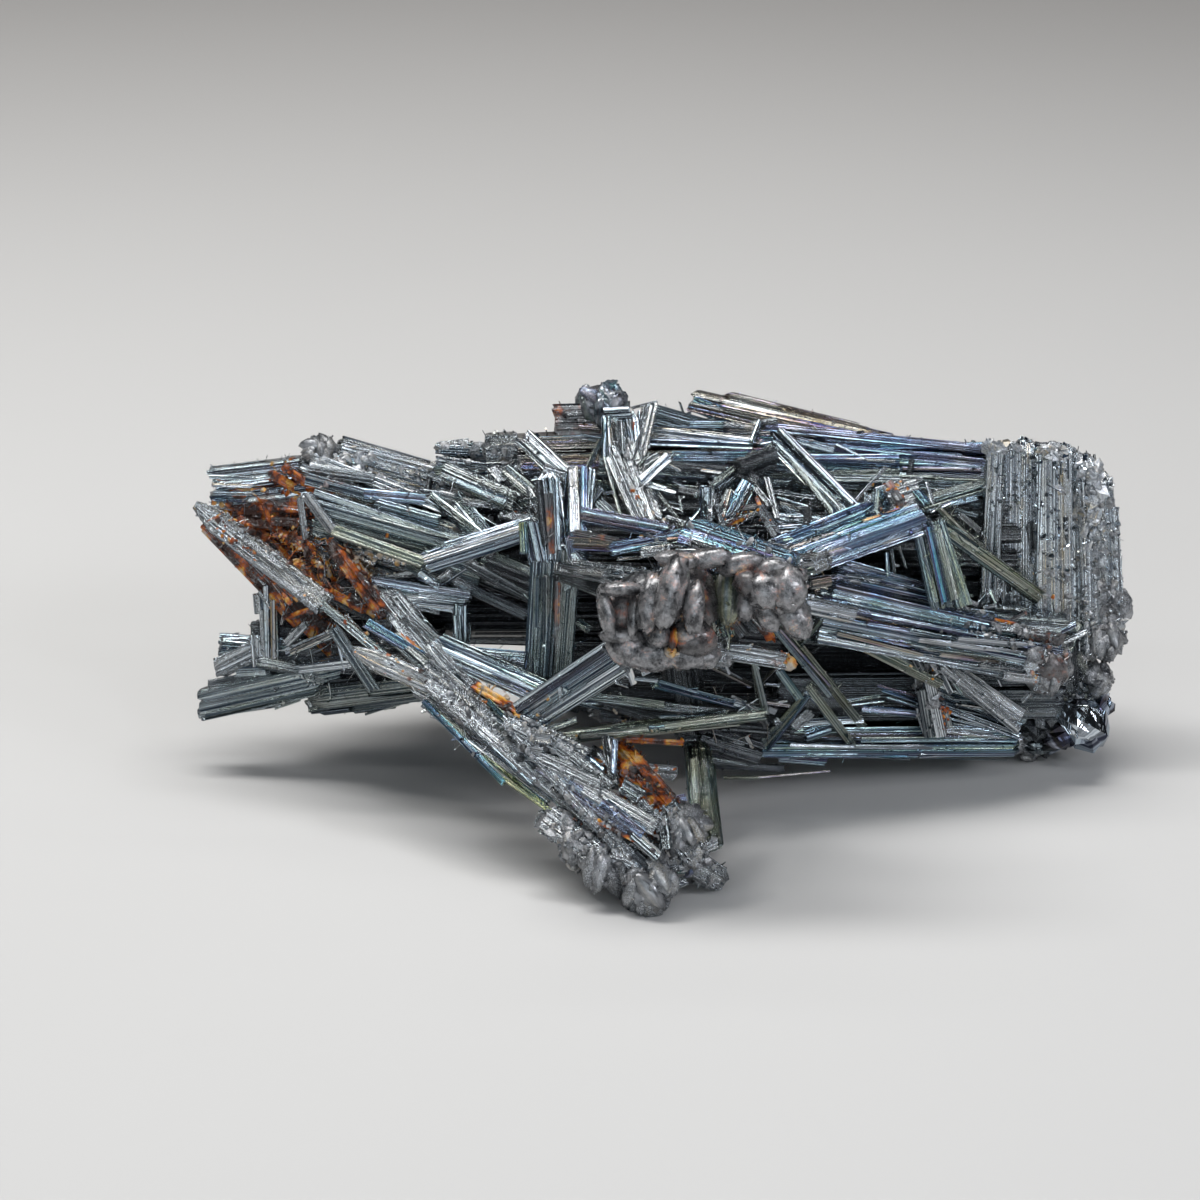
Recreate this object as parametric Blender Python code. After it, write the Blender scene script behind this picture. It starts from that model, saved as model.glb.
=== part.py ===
"""Stibnite crystal spray: striated metallic blades and bars that grew together into one solid.

Run with: blender --background --python part.py
Metres, +Z up, +X to the viewer's right and +Y away from the viewer. The origin lies on the
surface that the spray rests on, under the middle of its outline.
"""

import math
import random
from collections import namedtuple

import bmesh
import bpy
from mathutils import Matrix, Vector

MM = 0.001

# ---- Driving dimensions, in millimetres and degrees --------------------------------------
# The spray is laid out as a viewer sees it on its shelf. A place is given by how far across
# and up it is on the display plane, an imaginary sheet that faces the viewer, and by how far
# back it is from the middle of the spray.
VIEW_TILT = 24.0  # the viewer looks down on the spray by this angle
VIEW_DISTANCE = 416.7  # from the viewer's eye to the aim point
AIM_POINT = Vector((-7.25, 0.0, 27.0))  # where the viewer looks
AIM_ON_PLANE = (-7.25, 38.1)  # the aim point's own across and up
OUTLINE_MIDDLE = Vector((0.5, -1.6, 0.0))  # brings the middle of the outline to the origin

PROFILE_BEVEL = 0.26  # share of its width that a crystal's bevelled corner takes
BEVEL_SQUARENESS = 0.7  # how far a bevel reaches across, as a share of how far it reaches down
SLIM_CRYSTAL = 3.1  # below this width a crystal's bevels meet in an edge
RIDGE_LOWEST = 0.84  # the lowest ridge of a sheaf, as a share of half the thickness
UNDERSIDE_SHARE = 0.9  # width of a sheaf's flat underside, as a share of its full width
VALLEY_DEPTH = 0.30  # depth of the valley between two rods, as a share of half the thickness
EDGE_DROP = 0.55  # height of a sheaf's outer edges, as a share of half the thickness
END_STAGGER = 0.8  # how far a sheaf's rods end before or past each other, in rod widths
END_SLANT = 0.12  # how far a crystal's end face slants, as a share of its width
DOME_TIP, DOME_REACH = 0.55, 0.32  # a dome's tip and length, as shares of the crystal's width
CHISEL_TIP = (0.30, 0.45)  # a chisel's tip, between these shares of the full outline
CHISEL_REACH = (0.9, 1.2)  # a chisel's length, between these shares of the crystal's width
END_ON = 0.2  # below this sine of its angle to the line of sight, a crystal points at the viewer
REST_SIZE = 200.0  # width of the cutter that flattens the feet
SUNK_BELOW_REST = 8.0  # depth of the cutter that flattens the feet
CRUMB = 0.5  # loose bits below this volume, in cubic millimetres, are dropped
LUMP_SIDES = 7  # corners round a lump
LUMP_BANDS = 4  # bands of faces from a lump's pole to the other
LUMP_ROUGHNESS = 0.08  # a lump's corners wander by this share of its radius
LUMP_LEAN = (0.2, 1.2)  # a lump's poles lean over by an angle between these, in radians
STEEL_GREY = (0.20, 0.21, 0.22, 1.0)

Crystal = namedtuple("Crystal", "name start end width thick turn rods tips")
Lump = namedtuple("Lump", "name centre radii")

# ---- The crystals -------------------------------------------------------------------------
# name, start and end (across, up, back), width seen by the viewer, thickness away from the
# viewer, turn about the length in degrees, number of rods side by side, and the two ends.
CRYSTALS = [
    # The left arm, which stands clear of the surface.
    Crystal("left_horn", (-55.8, 52.2, 13), (-44.5, 53.6, 14), 4.6, 4.2, 0, 3, "cut cut"),
    Crystal("horn_ledge", (-47.5, 54.4, 15), (-41.0, 54.8, 16), 3.0, 4.0, 20, 1, "dome cut"),
    Crystal("upper_left_sheaf", (-44.0, 54.6, 15), (-21.0, 45.6, 8), 5.2, 5.0, 15, 4, "cut cut"),
    Crystal("upper_left_ridge", (-40.5, 57.0, 18), (-25.0, 52.6, 16), 2.8, 4.0, 20, 2, "dome cut"),
    Crystal("mid_left_bar", (-43.2, 49.0, 7), (-21.5, 42.6, 3), 4.7, 4.4, 18, 3, "cut cut"),
    Crystal("diagonal_blade", (-57.8, 50.0, 8), (-27.5, 26.4, -11), 3.3, 2.0, 8, 1, "chisel cut"),
    Crystal("hollow_floor", (-55.0, 50.0, 13), (-39.0, 34.0, 7), 6.6, 3.4, -10, 2, "cut cut"),
    Crystal("hollow_roof", (-53.6, 50.0, 13), (-40.0, 50.4, 13), 4.4, 4.0, 0, 1, "cut cut"),
    Crystal("hollow_back", (-44.0, 43.0, 9), (-30.0, 36.0, 4), 7.0, 4.0, 0, 1, "cut cut"),
    Crystal("rusty_blade", (-41.0, 45.8, 5), (-33.6, 36.2, 0), 2.2, 5.0, 12, 1, "chisel cut"),
    Crystal("spotted_plate", (-40.0, 43.6, 8), (-28.0, 39.2, 4), 4.2, 3.2, 14, 1, "cut cut"),
    Crystal("shelf_bundle", (-36.0, 39.8, 2), (-23.8, 37.8, -1), 2.9, 2.8, 14, 3, "cut cut"),
    Crystal("shelf_slope", (-34.0, 39.0, 1), (-26.5, 29.6, -6), 3.6, 2.4, 0, 3, "cut cut"),
    Crystal("hanging_post", (-24.6, 37.6, -2), (-24.6, 31.2, -4), 2.0, 2.0, 10, 1, "cut cut"),
    Crystal("left_stick", (-48.8, 40.4, 9), (-48.4, 30.0, 7), 2.4, 2.2, 0, 3, "cut cut"),
    Crystal("left_stick_back", (-46.0, 41.0, 11), (-46.2, 30.0, 9), 4.0, 3.0, 5, 2, "cut cut"),
    Crystal("fan_plate_high", (-54.6, 32.4, 10), (-45.5, 31.6, 7), 3.4, 1.2, 10, 1, "cut cut"),
    Crystal("left_stub", (-55.2, 29.4, 8), (-50.0, 32.0, 8), 2.8, 2.6, 0, 1, "dome cut"),
    Crystal("low_left_blade", (-57.0, 25.0, 7), (-39.0, 29.0, 4), 4.0, 2.4, 6, 1, "cut cut"),
    Crystal("low_mid_blade", (-43.6, 25.4, 4), (-29.0, 27.2, -3), 3.4, 2.6, 6, 1, "chisel cut"),
    Crystal("low_left_core", (-50.0, 32.6, 11), (-27.5, 31.6, 2), 7.0, 5.0, 0, 1, "cut cut"),
    Crystal("left_arm_core", (-50.0, 47.0, 16), (-20.0, 44.0, 8), 7.0, 6.0, 0, 1, "cut cut"),
    Crystal("arm_link", (-44.0, 46.0, 14), (-43.0, 32.0, 10), 6.0, 6.0, 10, 1, "cut cut"),
    Crystal("pale_bar", (-45.0, 29.4, 5), (-35.0, 31.4, -1), 1.5, 1.5, 10, 1, "cut cut"),
    Crystal("pale_bar_short", (-46.2, 31.6, 6), (-40.4, 34.0, 2), 1.2, 1.2, 0, 1, "cut cut"),
    # The front leg, which comes forward and down to the foot.
    Crystal("leg", (-33.5, 31.2, -6), (-1.0, 4.4, -29), 6.2, 4.2, 0, 3, "cut chisel"),
    Crystal("leg_rods", (-29.4, 25.4, -11), (-13.8, 12.6, -22), 2.9, 1.4, 0, 3, "cut cut"),
    Crystal("leg_strip", (-20.0, 23.6, -17), (-2.0, 4.4, -31), 2.4, 2.6, 10, 2, "cut chisel"),
    Crystal("leg_bridge", (-17.5, 22.6, -18), (-9.0, 18.2, -22), 2.6, 2.4, 0, 1, "cut cut"),
    Crystal("foot_left", (-13.6, 10.6, -24), (-6.0, 5.0, -29), 3.8, 3.8, 0, 1, "cut dome"),
    Crystal("foot_block", (0.6, 12.0, -25), (5.6, 5.4, -28), 3.8, 4.0, 0, 1, "cut dome"),
    Crystal("foot_toe", (2.6, 6.4, -27), (8.2, 2.9, -26), 3.2, 3.2, 0, 1, "cut dome"),
    Crystal("leg_prop", (5.0, 19.4, -10), (6.4, 7.4, -25), 3.3, 3.0, 12, 1, "cut cut"),
    Crystal("leg_inner", (-6.0, 19.4, -14), (1.4, 10.6, -24), 5.0, 4.0, 0, 1, "cut cut"),
    Crystal("leg_post", (-6.6, 22.0, -16), (-5.4, 14.8, -24), 1.2, 1.2, 0, 1, "cut cut"),
    # The middle: uprights, the pale cross bar and the pillar in front of the dark cavity.
    Crystal("cross_bar", (-29.0, 42.9, -1), (-15.6, 47.2, 0), 2.6, 2.4, 24, 1, "cut cut"),
    Crystal("cross_block", (-15.9, 47.9, 0), (-14.2, 40.8, -3), 2.5, 2.2, 10, 1, "cut cut"),
    Crystal("upright_left", (-13.6, 54.3, 1), (-12.6, 42.6, -4), 2.7, 2.6, 20, 1, "dome cut"),
    Crystal("upright_right", (-9.6, 55.0, 3), (-10.8, 42.0, -4), 3.3, 2.8, 14, 2, "cut cut"),
    Crystal("pillar", (-12.6, 44.0, -4), (-13.8, 27.0, -9), 5.0, 3.6, 8, 2, "cut cut"),
    Crystal("lean_bar", (-16.4, 58.2, 10), (-10.4, 52.6, 2), 2.5, 2.2, 10, 1, "cut cut"),
    Crystal("dark_block", (-21.4, 56.2, 14), (-17.4, 56.4, 14), 5.6, 5.0, 12, 1, "cut cut"),
    Crystal("left_chunk", (-27.6, 56.0, 16), (-19.0, 55.8, 15), 3.6, 3.6, 10, 2, "dome cut"),
    Crystal("dark_lath", (-26.4, 54.2, 12), (-17.5, 50.2, 6), 2.6, 2.6, 10, 1, "cut cut"),
    Crystal("steep_chunk", (-26.0, 51.0, 10), (-21.0, 45.2, 5), 3.3, 2.2, 0, 2, "cut cut"),
    Crystal("rubble_bar", (-21.0, 51.4, 13), (-11.0, 48.6, 3), 4.2, 4.0, 0, 1, "cut cut"),
    Crystal("shaded_slab", (-29.0, 45.0, 6), (-12.0, 38.4, 2), 4.4, 3.2, 0, 1, "cut cut"),
    Crystal("strut_left", (-27.6, 32.4, -8), (-12.8, 25.8, -13), 2.9, 2.4, 14, 3, "cut cut"),
    Crystal("strut_short", (-28.4, 32.8, -8), (-22.8, 26.6, -11), 2.5, 2.2, 0, 1, "dome cut"),
    Crystal("strut_right", (-3.6, 32.0, -22), (-16.6, 23.4, -17), 4.3, 2.2, 0, 3, "cut cut"),
    Crystal("strut_tie", (-12.4, 26.2, -18.4), (-6.6, 24.8, -13), 1.2, 1.2, 0, 1, "cut cut"),
    Crystal("cavity_rods", (-27.8, 31.0, -5), (-12.4, 29.8, -7), 3.0, 1.6, 0, 3, "cut cut"),
    # The rear bars along the top.
    Crystal("rear_bar", (-20.6, 56.4, 16), (13.6, 57.6, 21), 4.6, 4.6, 8, 4, "cut cut"),
    Crystal("rear_bar_low", (-8.0, 54.0, 14), (27.0, 52.0, 17), 4.0, 3.4, 0, 3, "cut cut"),
    Crystal("maroon_block", (-12.9, 60.4, 19), (-5.0, 60.6, 19), 4.2, 3.4, 0, 1, "cut cut"),
    Crystal("top_upright", (-4.9, 62.2, 17), (-4.0, 54.0, 13), 4.4, 3.4, 0, 2, "dome cut"),
    Crystal("grey_blade", (-4.6, 57.6, 14), (-0.2, 45.6, 2), 3.6, 1.7, 6, 1, "cut cut"),
    Crystal("lean_blade", (-0.9, 62.4, 18), (-3.2, 52.6, 10), 1.9, 1.6, 0, 1, "cut cut"),
    Crystal("rear_cap", (-2.0, 61.4, 18), (8.0, 58.6, 20), 2.6, 2.8, 0, 2, "cut chisel"),
    Crystal("high_bar", (4.3, 63.1, 28), (30.0, 57.2, 19.5), 2.6, 3.2, 10, 1, "cut chisel"),
    Crystal("high_bar_cap", (8.4, 63.4, 27.5), (27.5, 58.6, 21.5), 1.8, 2.2, 10, 1, "dome chisel"),
    Crystal("rear_right_bundle", (13.0, 57.4, 21), (41.4, 54.7, 16), 5.5, 5.0, 6, 5, "cut cut"),
    Crystal("rear_right_low", (18.0, 52.4, 16), (41.0, 51.4, 13), 3.4, 4.0, 0, 2, "cut cut"),
    Crystal("slant_bar", (14.8, 58.4, 15), (25.0, 48.0, 4), 2.8, 2.4, 18, 2, "cut cut"),
    Crystal("dark_strut", (6.4, 51.6, 7), (14.8, 57.4, 16), 1.6, 1.6, 0, 1, "cut cut"),
    Crystal("dark_wing", (9.6, 54.0, 10), (14.2, 55.8, 13), 3.0, 1.4, 0, 1, "cut cut"),
    Crystal("window_stub", (26.6, 49.4, 7), (32.4, 51.2, 9), 4.4, 4.2, 0, 1, "dome cut"),
    Crystal("window_prism", (26.6, 51.2, 6), (25.8, 46.6, 3), 1.9, 1.8, 20, 1, "chisel cut"),
    # The valley between the rear bars and the front bundles.
    Crystal("valley_post", (6.1, 52.2, 6), (6.2, 46.0, 3.5), 1.2, 1.2, 15, 1, "cut cut"),
    Crystal("valley_blades", (8.2, 46.8, 3), (11.3, 52.4, 8), 1.9, 1.4, 0, 2, "cut cut"),
    Crystal("valley_rods", (14.4, 48.0, 5), (23.0, 47.2, 3), 2.0, 2.0, 0, 2, "cut cut"),
    # The middle right.
    Crystal("blue_bar", (15.4, 44.4, -3), (27.0, 49.2, 1), 3.2, 3.0, 18, 2, "cut chisel"),
    Crystal("blue_bar_low", (17.4, 42.4, -5), (33.6, 48.2, 0), 3.2, 3.0, 22, 2, "cut cut"),
    Crystal("column_left", (32.8, 48.2, 0), (35.4, 37.2, -3), 2.7, 2.2, 0, 1, "cut cut"),
    Crystal("column_right", (34.8, 48.0, 1), (38.2, 37.4, -2), 2.2, 2.0, 10, 1, "cut cut"),
    Crystal("green_bar", (35.2, 47.4, 1), (47.4, 38.6, 9), 1.9, 1.8, 14, 1, "cut cut"),
    Crystal("green_twig", (35.0, 49.6, 3), (40.2, 44.4, 5), 0.9, 1.0, 0, 1, "cut cut"),
    Crystal("gap_bar", (32.0, 49.6, 8), (42.0, 52.6, 13), 2.4, 2.4, 0, 2, "cut cut"),
    # The right plate of upright crystals.
    Crystal("plate_edge", (42.2, 57.6, 12), (41.2, 38.0, 9), 2.4, 3.4, 10, 1, "cut cut"),
    Crystal("plate_1", (44.0, 57.4, 15), (43.8, 37.0, 11), 2.8, 4.6, 4, 1, "cut cut"),
    Crystal("plate_2", (46.2, 58.0, 16), (46.0, 33.8, 11), 2.9, 5.4, -3, 1, "dome cut"),
    Crystal("plate_3", (48.4, 57.6, 15), (48.5, 32.6, 10), 2.9, 5.2, 5, 1, "dome cut"),
    Crystal("plate_4", (50.8, 57.4, 16), (51.2, 32.0, 11), 3.0, 5.8, 0, 1, "dome cut"),
    Crystal("plate_5", (53.1, 56.4, 15), (53.8, 31.6, 10), 3.0, 5.4, -4, 1, "dome cut"),
    Crystal("plate_6", (55.1, 54.0, 16), (56.2, 31.8, 11), 2.8, 5.0, 6, 1, "dome cut"),
    Crystal("plate_rim", (56.4, 50.2, 15), (57.2, 34.4, 11), 2.2, 4.2, 0, 1, "dome cut"),
    Crystal("plate_back", (45.0, 55.0, 20), (50.0, 34.0, 17), 9.0, 4.0, 0, 2, "dome cut"),
    # The front right bundles.
    Crystal("front_top", (22.6, 42.2, -3), (36.6, 38.2, 1), 2.3, 2.6, 12, 3, "cut cut"),
    Crystal("front_second", (21.4, 39.0, -5), (43.6, 33.8, 3), 3.3, 3.2, 12, 3, "cut cut"),
    Crystal("front_main", (19.6, 35.6, -6), (50.0, 29.8, 4), 5.2, 4.6, 14, 5, "cut dome"),
    Crystal("front_core", (14.0, 36.0, 0), (50.0, 33.5, 8), 6.0, 6.0, 0, 1, "cut cut"),
    Crystal("pale_chip", (18.4, 37.6, -9), (24.4, 36.3, -6), 2.3, 1.6, 0, 1, "cut cut"),
    Crystal("shade_rod", (22.6, 33.9, -6), (35.2, 27.6, -2), 1.4, 1.4, 0, 1, "cut cut"),
    Crystal("strap", (32.8, 32.2, -1), (45.4, 23.8, 3), 1.9, 1.5, 0, 1, "cut cut"),
    Crystal("strap_wing", (33.4, 31.6, 0), (33.8, 21.6, 0), 3.0, 2.2, 0, 1, "cut chisel"),
    Crystal("low_bundle", (10.6, 20.8, -4), (45.4, 20.6, 5), 3.8, 4.8, 10, 4, "cut chisel"),
    Crystal("low_fan", (34.0, 26.4, 2), (45.0, 22.2, 4), 3.2, 2.4, 0, 3, "cut cut"),
    Crystal("low_lump_bar", (42.0, 22.4, 8), (55.0, 23.4, 10), 6.4, 6.4, 0, 1, "cut dome"),
    Crystal("right_link", (48.6, 34.0, 10), (49.6, 22.6, 10), 8.0, 6.0, 0, 1, "cut cut"),
    Crystal("low_rod", (14.8, 18.7, -2), (24.0, 19.2, 0), 1.4, 1.6, 0, 1, "dome cut"),
    # The front knob, crystal heads that point at the viewer, and what carries it.
    Crystal("knob_carrier", (2.0, 41.6, 10), (1.0, 37.6, -27), 5.4, 5.0, 0, 1, "cut cut"),
    Crystal("knob_carrier_right", (12.4, 41.2, 8), (13.6, 39.0, -26), 5.0, 4.6, 0, 1, "cut cut"),
    Crystal("knob_roof", (4.0, 46.6, -15), (17.0, 42.0, -25), 3.4, 3.0, 0, 2, "cut dome"),
    Crystal("knob_floor", (-4.6, 32.0, -25), (8.6, 31.6, -24), 3.6, 4.0, 0, 1, "cut cut"),
    Crystal("knob_green", (8.2, 40.6, -19), (7.4, 31.8, -23), 2.7, 2.4, 0, 1, "cut cut"),
    Crystal("bar_to_knob", (-12.2, 42.4, -6), (1.0, 40.2, -22), 2.3, 2.2, 0, 1, "chisel cut"),
    Crystal("lilac_bar", (-10.4, 48.9, -0.5), (1.6, 46.6, -10), 1.9, 1.7, 0, 1, "cut cut"),
    Crystal("lilac_chip", (-11.8, 45.3, -3), (-3.0, 44.8, -11), 1.6, 1.6, 0, 1, "chisel cut"),
    Crystal("sky_bar", (-5.8, 44.3, -12), (6.4, 46.8, -15), 1.7, 1.6, 0, 1, "cut cut"),
    Crystal("knob_stub", (15.0, 40.6, -20), (20.8, 43.0, -14), 2.4, 2.4, 0, 1, "cut dome"),
    Crystal("knob_yoke", (6.6, 31.8, -22), (16.4, 30.2, -22), 1.7, 1.6, 0, 1, "cut dome"),
    # The rods that cross the dark space below the knob.
    Crystal("teal_rod", (-0.6, 27.6, -15), (13.0, 24.2, -8), 1.1, 1.1, 0, 1, "cut cut"),
    Crystal("long_lath", (-12.2, 20.8, -19), (13.4, 23.8, -9), 1.6, 1.8, 8, 1, "cut cut"),
    Crystal("long_cross_rod", (13.6, 37.4, -20), (25.8, 22.0, -1.0), 1.1, 1.1, 0, 1, "cut cut"),
    Crystal("v_rod_left", (12.8, 19.8, -5), (19.6, 27.4, -8.5), 1.4, 1.2, 0, 1, "cut cut"),
    Crystal("v_rod_right", (18.8, 27.2, -9), (24.2, 20.0, -2), 1.2, 1.2, 0, 1, "cut cut"),
    Crystal("needle_drop", (11.5, 32.4, -20), (13.7, 22.4, -5), 0.8, 0.9, 0, 1, "cut cut"),
    Crystal("under_beam", (-8.0, 25.2, -12), (22.0, 22.4, 0), 4.6, 4.6, 0, 1, "cut cut"),
    Crystal("under_block", (4.0, 22.0, -8), (12.0, 19.6, -4), 4.6, 4.8, 0, 1, "cut cut"),
    # The middle of the mass, mostly hidden.
    Crystal("core_front", (-2.0, 36.0, -8), (14.0, 35.0, -2), 7.0, 8.0, 0, 1, "cut cut"),
    Crystal("core_bridge", (4.0, 37.0, -6), (8.0, 34.0, 10), 8.0, 7.0, 0, 1, "cut cut"),
    Crystal("valley_floor", (-4.0, 46.2, 7), (32.0, 45.8, 6), 4.6, 7.0, 0, 1, "cut cut"),
    Crystal("core_post", (2.0, 36.0, -6), (4.0, 22.0, -8), 5.0, 5.0, 0, 1, "cut cut"),
    Crystal("low_core", (14.0, 26.0, 1), (50.0, 26.4, 8), 6.4, 6.0, 0, 1, "cut cut"),
]

# Rounded heads and druse-covered knots, as centre (across, up, back) and three radii.
LUMPS = [
    Lump("sheaf_knob", (-42.4, 56.4, 15), (2.2, 2.2, 2.2)),
    Lump("glass_dome", (-6.9, 62.8, 20), (3.5, 3.4, 2.4)),
    Lump("low_right_head", (52.2, 22.7, 11), (4.8, 4.6, 4.9)),
    Lump("low_right_heel", (46.4, 20.8, 10), (3.0, 3.4, 2.8)),
    Lump("front_head", (48.6, 29.6, 4), (3.0, 3.2, 3.2)),
    Lump("plate_foot", (55.6, 33.0, 10), (3.0, 3.2, 2.6)),
    Lump("plate_elbow", (57.4, 37.2, 12), (1.6, 2.4, 2.4)),
    Lump("right_ragged", (54.6, 28.2, 10), (2.2, 2.6, 2.4)),
    Lump("plate_crown", (48.0, 57.0, 16), (4.6, 3.4, 2.0)),
    Lump("knob_left_lobe", (-3.9, 37.2, -27), (2.9, 3.0, 3.1)),
    Lump("knob_ridge", (0.6, 38.6, -29), (2.2, 3.0, 4.2)),
    Lump("knob_ridge_right", (4.2, 37.4, -29), (1.9, 2.8, 3.4)),
    Lump("knob_chin", (-0.4, 32.8, -26), (4.6, 3.4, 2.4)),
    Lump("knob_right_head", (12.4, 38.4, -27), (2.6, 3.0, 3.0)),
    Lump("knob_right_brow", (14.6, 41.4, -26), (2.8, 3.0, 2.0)),
    Lump("knob_right_cheek", (17.0, 37.6, -26), (2.1, 2.6, 3.4)),
    Lump("foot_heel", (-1.2, 2.3, -30), (3.6, 3.2, 3.4)),
    Lump("foot_knot", (-6.6, 4.8, -28), (3.4, 3.2, 3.0)),
    Lump("foot_instep", (3.6, 8.8, -26), (3.2, 3.0, 3.2)),
    Lump("foot_side", (-10.2, 7.4, -26), (2.6, 2.6, 2.8)),
]

# The far side, in plain places (x, y, z): bars of the same habit, and the back foot.
BACK_CRYSTALS = [
    Crystal("back_bar_high", (-30, 22, 30), (14, 27, 36), 5.0, 4.4, 180, 3, "cut chisel"),
    Crystal("back_bar_low", (-42, 17, 17), (6, 24, 12), 5.4, 4.6, 190, 3, "chisel cut"),
    Crystal("back_bar_right", (4, 24, 24), (52, 21, 17), 5.6, 4.6, 180, 3, "cut dome"),
    Crystal("back_lean", (-20, 24, 34), (2, 22, 9), 4.2, 3.6, 180, 2, "chisel cut"),
    Crystal("back_lean_right", (42, 22, 33), (24, 22, 6), 4.2, 3.6, 180, 2, "dome cut"),
    Crystal("back_foot_bar", (-4, 14, 22), (-11, 26, -1), 5.2, 4.8, 180, 2, "cut chisel"),
    Crystal("back_foot_brace", (10, 16, 20), (-8, 25, 3), 3.6, 3.2, 0, 1, "cut cut"),
    Crystal("back_slat", (-36, 18, 30), (-30, 20, 12), 3.4, 2.8, 0, 1, "cut chisel"),
    Crystal("back_shelf", (14, 12, 9.5), (46, 17, 8), 5.0, 5.0, 180, 2, "cut dome"),
    Crystal("inner_high", (-30, 13, 31), (46, 14, 31), 9.0, 9.0, 0, 1, "cut cut"),
    Crystal("inner_middle", (-36, 12, 22), (46, 13, 22), 9.5, 9.0, 0, 1, "cut cut"),
    Crystal("inner_low", (-12, 9, 13), (48, 11, 12.5), 9.0, 9.0, 0, 1, "cut cut"),
    Crystal("inner_left", (-47, 14, 28), (-22, 12, 27), 7.0, 6.0, 0, 1, "cut cut"),
    Crystal("inner_right", (48, 14, 33), (50, 12, 10), 8.0, 7.0, 0, 1, "cut cut"),
]


# ---- Places -------------------------------------------------------------------------------
def tilted(angle_degrees):
    """The viewer's line of sight and the direction that looks upward, square to it."""
    angle = math.radians(angle_degrees)
    sight = Vector((0.0, math.cos(angle), -math.sin(angle)))
    upward = Vector((0.0, math.sin(angle), math.cos(angle)))
    return sight, upward


SIGHT, UPWARD = tilted(VIEW_TILT)
EYE = AIM_POINT - VIEW_DISTANCE * SIGHT


def place(across, up, back):
    """The point that the viewer sees at (across, up) on the display plane, that far back."""
    ray = VIEW_DISTANCE * SIGHT + (up - AIM_ON_PLANE[1]) * UPWARD
    ray.x += across - AIM_ON_PLANE[0]
    reach = (back - EYE.y) / ray.y
    return EYE + reach * ray


# ---- Shapes -------------------------------------------------------------------------------
def side_directions(along, turn):
    """A crystal's width and thickness directions: the width faces the viewer, then is turned."""
    wide = along.cross(SIGHT)
    if wide.length < END_ON:  # a crystal that points at the viewer takes its width from +X
        wide = UPWARD.cross(along)
    wide.normalize()
    rotation = Matrix.Rotation(math.radians(turn), 3, along)
    wide = rotation @ wide
    return wide, along.cross(wide).normalized()


def plain_outline(width, thick, chance):
    """One crystal: a flattened prism with bevelled corners, and a flat end that slants.

    Returns the outline's points, how far along the length each point of an end is shifted,
    and the faces that close an end.
    """
    half_w, half_t = width / 2, thick / 2
    bevel = width * PROFILE_BEVEL
    if width < SLIM_CRYSTAL:  # the bevels of a slim crystal meet in an edge
        upper = [(half_w, 0), (bevel, half_t), (-bevel, half_t)]
    else:
        side, inner = half_t * (1 - 2 * PROFILE_BEVEL), half_w - bevel * BEVEL_SQUARENESS
        upper = [(half_w, side), (inner, half_t), (-inner, half_t), (-half_w, side)]
    points = upper + [(-x, -y) for x, y in upper]
    ends = []
    for _ in range(2):
        slope = chance.uniform(-END_SLANT, END_SLANT)
        ends.append([slope * x for x, _ in points])
    return points, ends, [tuple(range(len(points)))]


def ridged_outline(width, thick, rods, chance):
    """A sheaf of rods that grew side by side: one ridge for each rod on the side that shows.

    Each rod ends a little before or past the next one.
    """
    share, half_t = width / rods, thick / 2
    left, right = -width / 2, width / 2
    upper = [(left, half_t * EDGE_DROP)]
    for i in range(rods):
        upper.append((left + (i + 0.5) * share, half_t * chance.uniform(RIDGE_LOWEST, 1.0)))
        if i < rods - 1:
            upper.append((left + (i + 1) * share, half_t * (1 - VALLEY_DEPTH)))
    upper.append((right, half_t * EDGE_DROP))
    points = upper + [(right * UNDERSIDE_SHARE, -half_t), (left * UNDERSIDE_SHARE, -half_t)]
    last = len(upper) - 1
    low_right, low_left, middle = last + 1, last + 2, rods
    faces = [(i, i + 1, low_left) for i in range(middle)]
    faces += [(i, i + 1, low_right) for i in range(middle, last)]
    faces.append((middle, low_right, low_left))
    stagger = END_STAGGER * share
    ends = [[chance.uniform(-stagger, stagger) for _ in points] for _ in range(2)]
    return points, ends, faces


def end_rings(kind, width, chance):
    """How an end tapers: pairs of (distance from the tip, share of the full outline)."""
    if kind == "dome":
        return [(0.0, DOME_TIP), (DOME_REACH * width, 1.0)]
    if kind == "chisel":
        tip = chance.uniform(*CHISEL_TIP)
        return [(0.0, tip), (chance.uniform(*CHISEL_REACH) * width, 1.0)]
    return [(0.0, 1.0)]


def grow(crystal, start, end):
    """Carries a crystal's outline from its start to its end, and tapers both ends."""
    chance = random.Random(crystal.name)
    if crystal.rods > 1:
        points, ends, faces = ridged_outline(crystal.width, crystal.thick, crystal.rods, chance)
    else:
        points, ends, faces = plain_outline(crystal.width, crystal.thick, chance)
    along = end - start
    length = along.length
    along.normalize()
    wide, deep = side_directions(along, crystal.turn)
    first, last = (end_rings(kind, crystal.width, chance) for kind in crystal.tips.split())
    rings = [(distance, share, ends[0]) for distance, share in first]
    rings += [(length - distance, share, ends[1]) for distance, share in reversed(last)]
    mesh = bmesh.new()
    corners = []
    for distance, share, shifts in rings:
        ring = []
        for (x, y), shift in zip(points, shifts):
            spot = start + along * (distance + shift) + (wide * x + deep * y) * share
            ring.append(mesh.verts.new(spot * MM))
        corners.append(ring)
    for near, far in zip(corners, corners[1:]):
        for i in range(len(points)):
            j = (i + 1) % len(points)
            mesh.faces.new((near[i], near[j], far[j], far[i]))
    for ring in (corners[0], corners[-1]):
        for face in faces:
            mesh.faces.new([ring[i] for i in face])
    bmesh.ops.recalc_face_normals(mesh, faces=mesh.faces)
    return object_from(crystal.name, mesh)


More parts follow.
